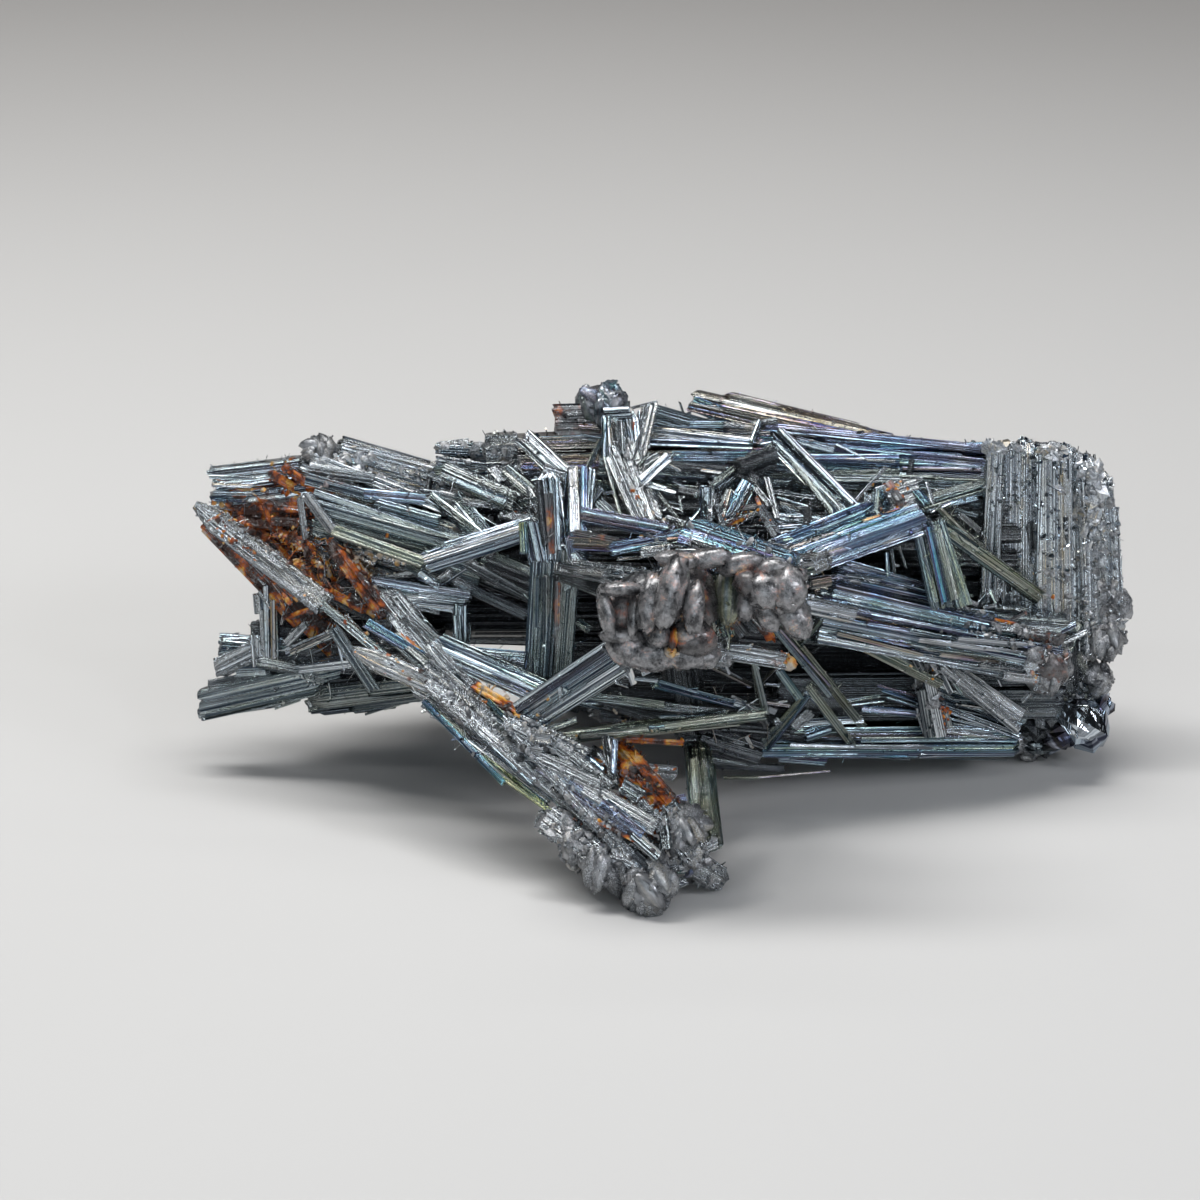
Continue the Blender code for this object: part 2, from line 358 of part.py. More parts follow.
def lump(item, centre, chance):
    """A rounded head: a coarse ball, stretched to its radii, with corners that wander."""
    mesh = bmesh.new()
    bmesh.ops.create_uvsphere(mesh, u_segments=LUMP_SIDES, v_segments=LUMP_BANDS, radius=1.0)
    angle = chance.uniform(*LUMP_LEAN)
    lean = Matrix.Rotation(angle, 3, Vector((1.0, chance.uniform(-1, 1), 0.0)))
    for vertex in mesh.verts:
        wander = 1.0 + chance.uniform(-LUMP_ROUGHNESS, LUMP_ROUGHNESS)
        round_spot = lean @ vertex.co
        local = Vector(round_spot[i] * item.radii[i] * wander for i in range(3))
        vertex.co = (centre + local) * MM
    return object_from(item.name, mesh)


def object_from(name, mesh):
    """Puts a bmesh in the scene as an object of its own."""
    data = bpy.data.meshes.new(name)
    mesh.to_mesh(data)
    mesh.free()
    made = bpy.data.objects.new(name, data)
    bpy.context.scene.collection.objects.link(made)
    return made


# ---- Growing together ---------------------------------------------------------------------
def all_growths():
    """Every crystal and lump of the spray, as closed meshes that overlap where they meet."""
    shift = OUTLINE_MIDDLE
    made = []
    for crystal in CRYSTALS:
        made.append(grow(crystal, place(*crystal.start) - shift, place(*crystal.end) - shift))
    for crystal in BACK_CRYSTALS:
        made.append(grow(crystal, Vector(crystal.start) - shift, Vector(crystal.end) - shift))
    for item in LUMPS:
        made.append(lump(item, place(*item.centre) - shift, random.Random(item.name)))
    return made


def resting_surface_cutter():
    """A block below the resting surface: it takes the tips of the feet off, which leaves flats."""
    mesh = bmesh.new()
    bmesh.ops.create_cube(mesh, size=1.0)
    size = Vector((REST_SIZE, REST_SIZE, SUNK_BELOW_REST)) * MM
    for vertex in mesh.verts:
        vertex.co = Vector(vertex.co[i] * size[i] for i in range(3))
        vertex.co.z -= size.z / 2
    cutter = object_from("resting_surface_cutter", mesh)
    cutter.hide_render = True
    cutter.display_type = "WIRE"
    return cutter


def joined(growths, cutter):
    """The union of all growths as one mesh, flattened where it would sink below its rest."""
    base, others = growths[0], growths[1:]
    operands = bpy.data.collections.new("growths")
    bpy.context.scene.collection.children.link(operands)
    for other in others:
        bpy.context.scene.collection.objects.unlink(other)
        operands.objects.link(other)
    union = base.modifiers.new("grown together", "BOOLEAN")
    union.operation = "UNION"
    union.solver = "EXACT"
    union.operand_type = "COLLECTION"
    union.collection = operands
    flats = base.modifiers.new("worn flats", "BOOLEAN")
    flats.operation = "DIFFERENCE"
    flats.solver = "EXACT"
    flats.object = cutter
    graph = bpy.context.evaluated_depsgraph_get()
    whole = bpy.data.meshes.new_from_object(base.evaluated_get(graph))
    for used in growths + [cutter]:
        bpy.data.objects.remove(used)
    bpy.data.collections.remove(operands)
    return whole


def islands(mesh):
    """The connected surfaces of a bmesh, as lists of faces."""
    unseen = set(mesh.faces)
    found = []
    while unseen:
        queue = [unseen.pop()]
        surface = []
        while queue:
            face = queue.pop()
            surface.append(face)
            for edge in face.edges:
                for neighbour in edge.link_faces:
                    if neighbour in unseen:
                        unseen.remove(neighbour)
                        queue.append(neighbour)
        found.append(surface)
    return found


def signed_volume(surface):
    """The volume that a surface encloses, negative where it is the wall of a pocket."""
    total = 0.0
    for face in surface:
        corners = [loop.vert.co for loop in face.loops]
        for second, third in zip(corners[1:], corners[2:]):
            total += corners[0].dot(second.cross(third))
    return total / 6


def without_pockets(data):
    """Keeps the outer surface only, which fills the sealed pockets and drops loose crumbs."""
    mesh = bmesh.new()
    mesh.from_mesh(data)
    for surface in islands(mesh):
        if signed_volume(surface) < CRUMB * MM**3:
            bmesh.ops.delete(mesh, geom=surface, context="FACES")
    mesh.to_mesh(data)
    mesh.free()
    return data


def steel_grey():
    """The bare metallic grey of stibnite."""
    material = bpy.data.materials.new("stibnite")
    material.use_nodes = True
    shader = material.node_tree.nodes["Principled BSDF"]
    shader.inputs["Base Color"].default_value = STEEL_GREY
    shader.inputs["Metallic"].default_value = 0.9
    shader.inputs["Roughness"].default_value = 0.38
    return material


def main():
    for old in list(bpy.data.objects):
        bpy.data.objects.remove(old)
    data = without_pockets(joined(all_growths(), resting_surface_cutter()))
    data.name = "stibnite_cluster"
    data.materials.clear()
    data.materials.append(steel_grey())
    spray = bpy.data.objects.new("stibnite_cluster", data)
    bpy.context.scene.collection.objects.link(spray)


main()
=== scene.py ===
# %% [markdown]
# # A stibnite crystal spray
# Stibnite grows as slender bars with a bright metallic lustre. Each bar is scored lengthwise by
# fine striations, and many bars lie side by side in sheaves. This notebook dresses the packed
# solid of the spray: every bar of the solid is grown again with its striations, its broken laths
# and its jagged ends, and the finish follows the length of each bar.

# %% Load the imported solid
import math
import zlib
from collections import namedtuple
from itertools import islice

import bpy
import numpy as np
from mathutils import Matrix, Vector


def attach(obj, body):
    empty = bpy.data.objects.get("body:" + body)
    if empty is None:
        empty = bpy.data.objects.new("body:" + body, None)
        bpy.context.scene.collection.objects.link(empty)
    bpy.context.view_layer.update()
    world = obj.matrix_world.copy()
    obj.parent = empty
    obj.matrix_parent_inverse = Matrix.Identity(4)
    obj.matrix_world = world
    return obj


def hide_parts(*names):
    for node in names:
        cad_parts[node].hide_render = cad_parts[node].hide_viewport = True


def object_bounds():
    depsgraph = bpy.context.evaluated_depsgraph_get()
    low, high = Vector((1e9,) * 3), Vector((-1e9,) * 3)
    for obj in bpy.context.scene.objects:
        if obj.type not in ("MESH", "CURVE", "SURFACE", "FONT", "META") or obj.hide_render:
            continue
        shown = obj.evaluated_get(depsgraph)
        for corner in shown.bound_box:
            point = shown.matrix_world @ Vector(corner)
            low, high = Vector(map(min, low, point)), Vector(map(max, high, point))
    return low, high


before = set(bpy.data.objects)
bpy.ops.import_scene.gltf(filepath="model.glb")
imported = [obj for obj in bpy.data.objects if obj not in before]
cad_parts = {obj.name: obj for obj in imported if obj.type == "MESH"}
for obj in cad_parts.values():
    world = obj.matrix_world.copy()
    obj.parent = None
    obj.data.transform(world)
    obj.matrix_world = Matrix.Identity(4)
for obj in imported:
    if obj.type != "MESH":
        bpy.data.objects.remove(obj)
solid_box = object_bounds()
MM = 0.001
SPRAY = "stibnite_cluster"
print("the solid's box, in metres:", solid_box)

# %% [markdown]
# ## Where the viewer stands
# The spray is laid out as a viewer sees it. A place is given by how far across and up it is on
# the display plane, an imaginary sheet that faces the viewer, and by how far back it is. These
# are the solid's own driving dimensions, so a bar that is placed here lies on the solid's bar.

# %% The display plane and the camera
VIEW_TILT = 24.0
VIEW_DISTANCE = 416.7
AIM_POINT = np.array([-7.25, 0.0, 27.0])
AIM_ON_PLANE = (-7.25, 38.1)
OUTLINE_MIDDLE = np.array([0.5, -1.6, 0.0])
LENS, SENSOR = 100.0, 36.0

tilt = math.radians(VIEW_TILT)
SIGHT = np.array([0.0, math.cos(tilt), -math.sin(tilt)])
UPWARD = np.array([0.0, math.sin(tilt), math.cos(tilt)])
SIDEWAYS = np.array([1.0, 0.0, 0.0])
EYE = AIM_POINT - VIEW_DISTANCE * SIGHT


def place(across, up, back):
    """The points seen at (across, up) on the display plane, that far back, in millimetres."""
    across, up, back = (np.asarray(value, dtype=float)[..., None] for value in (across, up, back))
    ray = VIEW_DISTANCE * SIGHT + (up - AIM_ON_PLANE[1]) * UPWARD + (across - AIM_ON_PLANE[0]) * SIDEWAYS
    return EYE + (back - EYE[1]) / ray[..., 1:2] * ray - OUTLINE_MIDDLE


lens = bpy.data.cameras.new("viewer")
lens.lens, lens.sensor_width = LENS, SENSOR
viewer = bpy.data.objects.new("viewer", lens)
viewer.location = (EYE - OUTLINE_MIDDLE) * MM
viewer.rotation_euler = (math.pi / 2 - tilt, 0.0, 0.0)
bpy.context.scene.collection.objects.link(viewer)
bpy.context.scene.camera = viewer
print("the viewer stands at", [round(c, 4) for c in viewer.location])

# %% [markdown]
# ## The habit of each crystal
# A maker of mineral models starts from a drawing in which every crystal has its place, its width,
# its habit and its coat. The tables below are that drawing. A coat is how the surface has aged:
# bright where it is fresh, dull where fine crystals crust it, tarnished where it shows colours.
# Some coats also carry painted shade, darker where a crystal lies in shade.
# The rows are plain words with blanks between them, so a maker can read and change them as a list.

# %% A way to read the drawing's rows
def value_of(word):
    """A number where the word reads as one, else the word itself."""
    try:
        return float(word) if "." in word else int(word)
    except ValueError:
        return word


def table(kind, shape, text):
    """Rows of one kind: each line's words are dealt out to its fields, as many as each takes."""
    found = []
    for line in text.strip().splitlines():
        words = iter([value_of(word) for word in line.split()])
        fields = [tuple(islice(words, size)) for size in shape]
        found.append(kind(*(field[0] if len(field) == 1 else field for field in fields)))
    return found


# %% The drawing: crystals of each piece
Crystal = namedtuple("Crystal", "name start end width thick turn rods tips coat")
DRAWING = {}


def crystals(text):
    """Crystals: name, two ends as across, up and back, width, thickness, turn, rods, tips, coat."""
    return table(Crystal, (1, 3, 3, 1, 1, 1, 1, 2, 1), text)


# The left arm, which stands clear of the surface.
DRAWING["left_arm"] = crystals("""
left_horn -55.8 52.2 13 -44.5 53.6 14 4.6 4.2 0 3 cut cut bright
horn_ledge -47.5 54.4 15 -41 54.8 16 3 4 20 1 dome cut dull
upper_left_sheaf -44 54.6 15 -21 45.6 8 5.2 5 15 4 cut cut silver
upper_left_ridge -40.5 57 18 -25 52.6 16 2.8 4 20 2 dome cut silver
mid_left_bar -43.2 49 7 -21.5 42.6 3 4.7 4.4 18 3 cut cut dark
diagonal_blade -57.8 50 8 -41.6 37.4 -1.7 3.1 2 8 1 chisel cut slate
blade_root -42 37.6 -2 -34 31 -7 1.2 1 8 1 cut cut dark
blade_fan -38 31.8 -7 -28.6 27.6 -10 2.6 1 14 1 chisel cut frost
blade_side -40.6 34.6 -1 -35.4 26.8 -4 1.6 1.2 0 1 cut cut dark
blade_splint -36.4 35.2 -3 -29.4 31 -6 1.3 1 0 1 cut cut sky
blade_chip -33 33.4 -4 -27.4 28.4 -8 1.7 1.2 0 1 cut cut dark
hollow_floor -55 50 13 -39 34 7 6.6 3.4 -10 2 cut cut rust
hollow_roof -53.6 50 13 -40 50.4 13 4.4 4 0 1 cut cut rust
hollow_back -44 43 9 -30 36 4 7 4 0 1 cut cut shade
rusty_blade -41 45.8 5 -33.6 36.2 0 2.2 5 12 1 chisel cut rust
spotted_plate -40 43.6 8 -28 39.2 4 4.2 3.2 14 1 cut cut dull
shelf_bundle -36 39.8 2 -23.8 37.8 -1 2.9 2.8 14 3 cut cut bright
shelf_slope -34 39 1 -26.5 29.6 -6 3.6 2.4 0 3 cut cut dull
hanging_post -24.6 37.6 -2 -24.6 31.2 -4 2 2 10 1 cut cut bright
left_stick -48.8 40.4 9 -48.4 30 7 2.4 2.2 0 3 cut cut bright
left_stick_back -46 41 11 -46.2 30 9 4 3 5 2 cut cut shade
fan_plate_high -54.6 32.4 10 -45.5 31.6 7 3.4 1.2 10 1 cut cut bright
left_stub -55.2 29.4 8 -50 32 8 2.8 2.6 0 1 dome cut dull
low_left_blade -57 25 7 -39 29 4 4 2.4 6 1 cut cut dark
low_mid_blade -43.6 25.4 4 -29 27.2 -3 3.4 2.6 6 1 chisel cut dark
low_left_core -50 32.6 11 -27.5 31.6 2 7 5 0 1 cut cut shade
left_arm_core -50 47 16 -20 44 8 7 6 0 1 cut cut shade
arm_link -44 46 14 -43 32 10 6 6 10 1 cut cut shade
pale_bar -45 29.4 5 -35 31.4 -1 1.5 1.5 10 1 cut cut bright
pale_bar_short -46.2 31.6 6 -40.4 34 2 1.2 1.2 0 1 cut cut bright
""")

# The front leg, which comes forward and down to the foot.
DRAWING["front_leg"] = crystals("""
leg -28.4 29 -9 -0.4 5.1 -29 3.8 4.2 0 2 cut chisel slate
leg_rods -29.4 25.4 -11 -13.8 12.6 -22 1.1 1.2 0 2 cut cut silver
leg_edge_rod -28 26.2 -12 -12.6 13.2 -22.6 0.7 0.8 0 1 cut cut pale
leg_shadow -27 26.4 -9 -12 13.6 -20 2.2 2.4 0 1 cut cut shade
leg_strip -18.6 23 -17 -2 4.4 -31 2 2.6 10 1 cut chisel frost
leg_bridge -17.5 22.6 -18 -9 18.2 -22 2.6 2.4 0 1 cut cut dull
foot_left -13.6 10.6 -24 -6 5 -29 3.8 3.8 0 1 cut dome dull
foot_block 0.6 12 -25 5.6 5.4 -28 3.8 4 0 1 cut dome dull
foot_toe 2.6 6.4 -27 8.2 2.9 -26 3.2 3.2 0 1 cut dome dull
leg_prop 5 19.4 -10 6.4 7.4 -25 3.3 3 12 1 cut cut green
leg_inner -6 19.4 -14 1.4 10.6 -24 5 4 0 1 cut cut rust
leg_post -6.6 22 -16 -5.4 14.8 -24 1.2 1.2 0 1 cut cut dull
""")

# The middle: uprights, the pale cross bar and the pillar in front of the dark cavity.
DRAWING["middle_uprights"] = crystals("""
cross_bar -29 42.9 -1 -15.6 47.2 0 2.6 2.4 24 1 cut cut bright
cross_block -15.9 47.9 0 -14.2 40.8 -3 2.5 2.2 10 1 cut cut bright
upright_left -13.6 54.3 1 -12.6 42.6 -4 2.7 2.6 20 1 dome cut bright
upright_right -9.6 55 3 -10.8 42 -4 3.3 2.8 14 2 cut cut bright
pillar -12.6 44 -4 -13.8 27 -9 5 3.6 8 2 cut cut dark
lean_bar -16.4 58.2 10 -10.4 52.6 2 2.5 2.2 10 1 cut cut bright
dark_block -21.4 56.2 14 -17.4 56.4 14 5.6 5 12 1 cut cut dull
left_chunk -27.6 56 16 -19 55.8 15 3.6 3.6 10 2 dome cut bright
dark_lath -26.4 54.2 12 -17.5 50.2 6 2.6 2.6 10 1 cut cut dark
steep_chunk -26 51 10 -21 45.2 5 3.3 2.2 0 2 cut cut bright
rubble_bar -21 51.4 13 -11 48.6 3 4.2 4 0 1 cut cut dull
shaded_slab -29 45 6 -12 38.4 2 4.4 3.2 0 1 cut cut shade
strut_left -27.6 32.4 -8 -12.8 25.8 -13 2.9 2.4 14 3 cut cut bright
strut_short -28.4 32.8 -8 -22.8 26.6 -11 2.5 2.2 0 1 dome cut dull
strut_right -3.6 32 -22 -16.6 23.4 -17 4.3 2.2 0 3 cut cut bright
strut_tie -12.4 26.2 -18.4 -6.6 24.8 -13 1.2 1.2 0 1 cut cut bright
cavity_rods -27.8 31 -5 -12.4 29.8 -7 3 1.6 0 3 cut cut bright
""")

# The rear bars along the top.
DRAWING["rear_bars"] = crystals("""
rear_bar -20.6 56.4 16 13.6 57.6 21 4.6 4.6 8 4 cut cut gold
rear_bar_low -8 54 14 27 52 17 4 3.4 0 3 cut cut dark
maroon_block -12.9 60.4 19 -5 60.6 19 4.2 3.4 0 1 cut cut maroon
top_upright -4.9 62.2 17 -4 54 13 4.4 3.4 0 2 dome cut bright
grey_blade -4.6 57.6 14 -0.2 45.6 2 3.6 1.7 6 1 cut cut dull
lean_blade -0.9 62.4 18 -3.2 52.6 10 1.9 1.6 0 1 cut cut dull
rear_cap -2 61.4 18 8 58.6 20 2.6 2.8 0 2 cut chisel dark
high_bar 4.3 63.1 28 30 57.2 19.5 2.6 3.2 10 1 cut chisel gold
high_bar_cap 8.4 63.4 27.5 27.5 58.6 21.5 1.8 2.2 10 1 dome chisel gold
rear_right_bundle 13 57.4 21 41.4 54.7 16 5.5 5 6 5 cut cut iris
rear_right_low 18 52.4 16 41 51.4 13 3.4 4 0 2 cut cut dark
slant_bar 14.8 58.4 15 25 48 4 2.8 2.4 18 2 cut cut bright
dark_strut 6.4 51.6 7 14.8 57.4 16 1.6 1.6 0 1 cut cut dark
dark_wing 9.6 54 10 14.2 55.8 13 3 1.4 0 1 cut cut shade
window_stub 26.6 49.4 7 32.4 51.2 9 4.4 4.2 0 1 dome cut dull
window_prism 26.6 51.2 6 25.8 46.6 3 1.9 1.8 20 1 chisel cut bright
""")

# The valley between the rear bars and the front bundles.
DRAWING["valley"] = crystals("""
valley_post 6.1 52.2 6 6.2 46 3.5 1.2 1.2 15 1 cut cut bright
valley_blades 8.2 46.8 3 11.3 52.4 8 1.9 1.4 0 2 cut cut sky
valley_rods 14.4 48 5 23 47.2 3 2 2 0 2 cut cut bright
""")

# The middle right.
DRAWING["blue_bars"] = crystals("""
blue_bar 15.4 44.4 -3 27 49.2 1 3.2 3 18 2 cut chisel iris
blue_bar_low 17.4 42.4 -5 33.6 48.2 0 3.2 3 22 2 cut cut iris
column_left 32.8 48.2 0 35.4 37.2 -3 2.7 2.2 0 1 cut cut dark
column_right 34.8 48 1 38.2 37.4 -2 2.2 2 10 1 cut cut green
green_bar 35.2 47.4 1 47.4 38.6 9 1.9 1.8 14 1 cut cut green
green_twig 35 49.6 3 40.2 44.4 5 0.9 1 0 1 cut cut green
gap_bar 32 49.6 8 42 52.6 13 2.4 2.4 0 2 cut cut dark
""")

# The right plate of upright crystals.
DRAWING["right_plate"] = crystals("""
plate_edge 42.2 57.6 12 41.2 38 9 2.4 3.4 10 1 cut cut plate
plate_1 44 57.4 15 43.8 37 11 3.1 4.6 4 1 cut cut plate
plate_2 46.2 58 16 46 33.8 11 3.3 5.4 -3 1 dome cut plate
plate_3 48.4 57.6 15 48.5 32.6 10 3.3 5.2 5 1 dome cut plate
plate_4 50.8 57.4 16 51.2 32 11 3.4 5.8 0 1 dome cut plate
plate_5 53.1 56.4 15 53.8 31.6 10 3.3 5.4 -4 1 dome cut plate
plate_6 55.1 54 16 56.2 31.8 11 3.1 5 6 1 dome cut plate
plate_rim 56.4 50.2 15 57.2 34.4 11 2.2 4.2 0 1 dome cut frost
plate_back 45 55 20 50 34 17 9 4 0 2 dome cut crust
""")

# The front right bundles.
DRAWING["front_bundles"] = crystals("""
front_top 22.6 42.2 -3 36.6 38.2 1 2.3 2.6 12 3 cut cut iris
front_second 21.4 39 -5 43.6 33.8 3 3.3 3.2 12 3 cut cut iris
front_main 19.6 35.6 -6 50 29.8 4 5.2 4.6 14 5 cut dome bright
front_core 14 36 0 50 33.5 8 6 6 0 1 cut cut dark
pale_chip 18.4 37.6 -9 24.4 36.3 -6 2.3 1.6 0 1 cut cut pale
shade_rod 22.6 33.9 -6 35.2 27.6 -2 1.4 1.4 0 1 cut cut green
strap 32.8 32.2 -1 45.4 23.8 3 1.9 1.5 0 1 cut cut frost
strap_wing 33.4 31.6 0 33.8 21.6 0 3 2.2 0 1 cut chisel dull
low_bundle 10.6 20.8 -4 45.4 20.6 5 3.8 4.8 10 4 cut chisel sky
low_fan 34 26.4 2 45 22.2 4 3.2 2.4 0 3 cut cut bright
low_lump_bar 42 22.4 10 52 23 12 5 5 0 1 cut dome shade
right_link 48.6 34 10 49.6 22.6 10 8 6 0 1 cut cut shade
low_rod 14.8 18.7 -2 24 19.2 0 1.4 1.6 0 1 dome cut dull
""")

# The front knob, crystal heads that point at the viewer, and what carries it.
DRAWING["front_knob"] = crystals("""
knob_carrier 2 41.6 10 1 37.6 -27 5.4 5 0 1 cut cut dark
knob_carrier_right 12.4 41.2 8 13.6 39 -26 5 4.6 0 1 cut cut dark
knob_roof 4 46.6 -15 17 42 -25 3.4 3 0 2 cut dome iris
knob_floor -4.6 32 -25 8.6 31.6 -24 3.6 4 0 1 cut cut crust
knob_green 8.2 40.6 -19 7.4 31.8 -23 2.7 2.4 0 1 cut cut green
bar_to_knob -12.2 42.4 -6 1 40.2 -22 2.3 2.2 0 1 chisel cut dull
lilac_bar -10.4 48.9 -0.5 1.6 46.6 -10 1.9 1.7 0 1 cut cut lilac
lilac_chip -11.8 45.3 -3 -3 44.8 -11 1.6 1.6 0 1 chisel cut lilac
sky_bar -5.8 44.3 -12 6.4 46.8 -15 1.7 1.6 0 1 cut cut sky
knob_stub 15 40.6 -20 20.8 43 -14 2.4 2.4 0 1 cut dome dull
knob_yoke 6.6 31.8 -22 16.4 30.2 -22 1.7 1.6 0 1 cut dome dull
""")

# The rods that cross the dark space below the knob.
DRAWING["crossing_rods"] = crystals("""
teal_rod -0.6 27.6 -15 13 24.2 -8 1.1 1.1 0 1 cut cut sky
long_lath -12.2 20.8 -19 13.4 23.8 -9 1.6 1.8 8 1 cut cut green
long_cross_rod 13.6 37.4 -20 25.8 22 -1 1.1 1.1 0 1 cut cut green
v_rod_left 12.8 19.8 -5 19.6 27.4 -8.5 1.4 1.2 0 1 cut cut green
v_rod_right 18.8 27.2 -9 24.2 20 -2 1.2 1.2 0 1 cut cut green
needle_drop 11.5 32.4 -20 13.7 22.4 -5 0.8 0.9 0 1 cut cut green
under_beam -8 25.2 -12 22 22.4 0 4.6 4.6 0 1 cut cut shade
under_block 4 22 -8 12 19.6 -4 4.6 4.8 0 1 cut cut shade
""")

# The middle of the mass, mostly hidden.
DRAWING["inner_mass"] = crystals("""
core_front -2 36 -8 14 35 -2 7 8 0 1 cut cut shade
core_bridge 4 37 -6 8 34 10 8 7 0 1 cut cut shade
valley_floor -4 46.2 7 32 45.8 6 4.6 7 0 1 cut cut shade
core_post 2 36 -6 4 22 -8 5 5 0 1 cut cut shade
low_core 14 26 1 50 26.4 8 6.4 6 0 1 cut cut shade
""")

# %% [markdown]
# ## Heads, knots and the far side
# Where many crystals meet, their tips round off into heads that a crust of fine crystals covers.
# The far side is laid out in plain x, y and z, because the viewer never looks straight at it.

# %% The drawing: rounded heads and the far side
Head = namedtuple("Head", "name centre radii coat")
HEADS = table(Head, (1, 3, 3, 1), """
sheaf_knob -42.4 56.4 15 2.2 2.2 2.2 dull
glass_dome -6.9 62.8 20 3.5 3.4 2.4 bright
low_right_heel 46.4 20.8 10 3 3.4 2.8 dull
front_head 48.6 29.6 4 3 3.2 3.2 dull
plate_foot 55.6 33 10 3 3.2 2.6 dull
plate_elbow 57.4 37.2 12 1.6 2.4 2.4 dull
right_ragged 54.6 28.2 10 2.2 2.6 2.4 dull
foot_heel -1.2 2.3 -30 3.6 3.2 3.4 dull
foot_knot -6.6 4.8 -28 3.4 3.2 3 dull
foot_instep 3.6 8.8 -26 3.2 3 3.2 dull
foot_side -10.2 7.4 -26 2.6 2.6 2.8 dull
""")
Lump = namedtuple("Lump", "spot radii lean coat")
LUMPS = {}
LUMPS["knob_heads"] = table(Lump, (3, 3, 1, 1), """
1.6 39.1 -29 1.94 2.4 4.29 13 pearl
4.5 37.2 -29 1.37 2 3.08 4 pearl
-1 37.8 -28 1.48 2 3.41 10 pearl
-6.4 36.4 -27 1.03 1.8 2.97 -12 pearl
-4.6 39.5 -27 2.62 1.8 0.88 0 pearl
-3 36 -27 0.91 1.6 2.64 6 pearl
-4.8 33.6 -27 2.62 1.8 0.99 0 pearl
-4.6 36.8 -25.4 2 1.4 2.6 0 maroon
-3.6 32.1 -27 2.96 2 2.2 20 pearl
-0.4 31.4 -27 3.42 2 2.09 -10 pearl
3 31.6 -27 3.19 2 2.09 15 pearl
5.6 31 -26 2.39 2 1.43 0 pearl
0.2 33.6 -28 1.6 1.6 1.43 0 pearl
3.3 34 -28 1.48 1.6 1.32 0 pearl
1.9 33.2 -28.6 0.6 1.4 1.5 8 rust
1.6 31.6 -28.8 0.8 1.2 0.7 30 tan
4.2 33.4 -27.6 2.8 1.6 2.2 0 maroon
-2 36.6 -24 4.2 2.6 4.6 0 shade
3.6 37.6 -24.4 3.6 2.6 5 0 maroon
14.2 39.2 -24 3.8 2.6 3.2 0 maroon
2.4 43.1 -26 2.85 1.7 1.1 8 pearl
6.4 43.3 -25 2.96 1.7 1.21 -6 pearl
10.2 42.6 -25 2.85 1.7 1.32 -14 pearl
13.9 41.9 -25 2.96 1.7 1.32 -10 pearl
16.8 40.9 -25 2.17 1.6 1.21 -20 pearl
11.2 40.2 -27 1.9 1.9 1.5 30 maroon
13.3 39.2 -28 2.17 2 2.2 0 pearl
16.3 39.4 -28 2.28 2.1 2.86 10 pearl
15 38.4 -27.8 0.8 1.6 1.4 0 rust
17 36.2 -27 2.05 1.9 2.97 -28 pearl
13.6 36.8 -26.4 1.71 1.7 2.64 -20 pearl
11 37.6 -26 1.25 1.6 2.09 6 pearl
8.7 38.6 -24 1.6 1.6 3.4 2 green
16.4 30.2 -22 0.9 1 0.9 0 tan
""")
LUMPS["low_right_lumps"] = table(Lump, (3, 3, 1, 1), """
53 22.9 3.6 3.4 1.3 2 28 pale
52.8 22.8 7.2 4.8 4.6 3 28 onyx
50 21.4 7 3.2 3.4 2.1 -30 onyx
55.2 24.6 9 1.9 3 2 40 onyx
51 25.8 10 4.2 3.4 1.6 -24 dark
47.4 23.4 7 2.8 3.2 3 10 shade
47.6 19.8 8 3 2.6 1.1 -4 dark
""")
LUMPS["outer_heads"] = table(Lump, (3, 3, 1, 1), """
49 29.8 2.6 2.4 2.6 2.2 30 maroon
46.8 31.2 2 1.8 2.2 1.5 -20 dull
""")
Crust = namedtuple("Crust", "region start end spread count sizes coat")
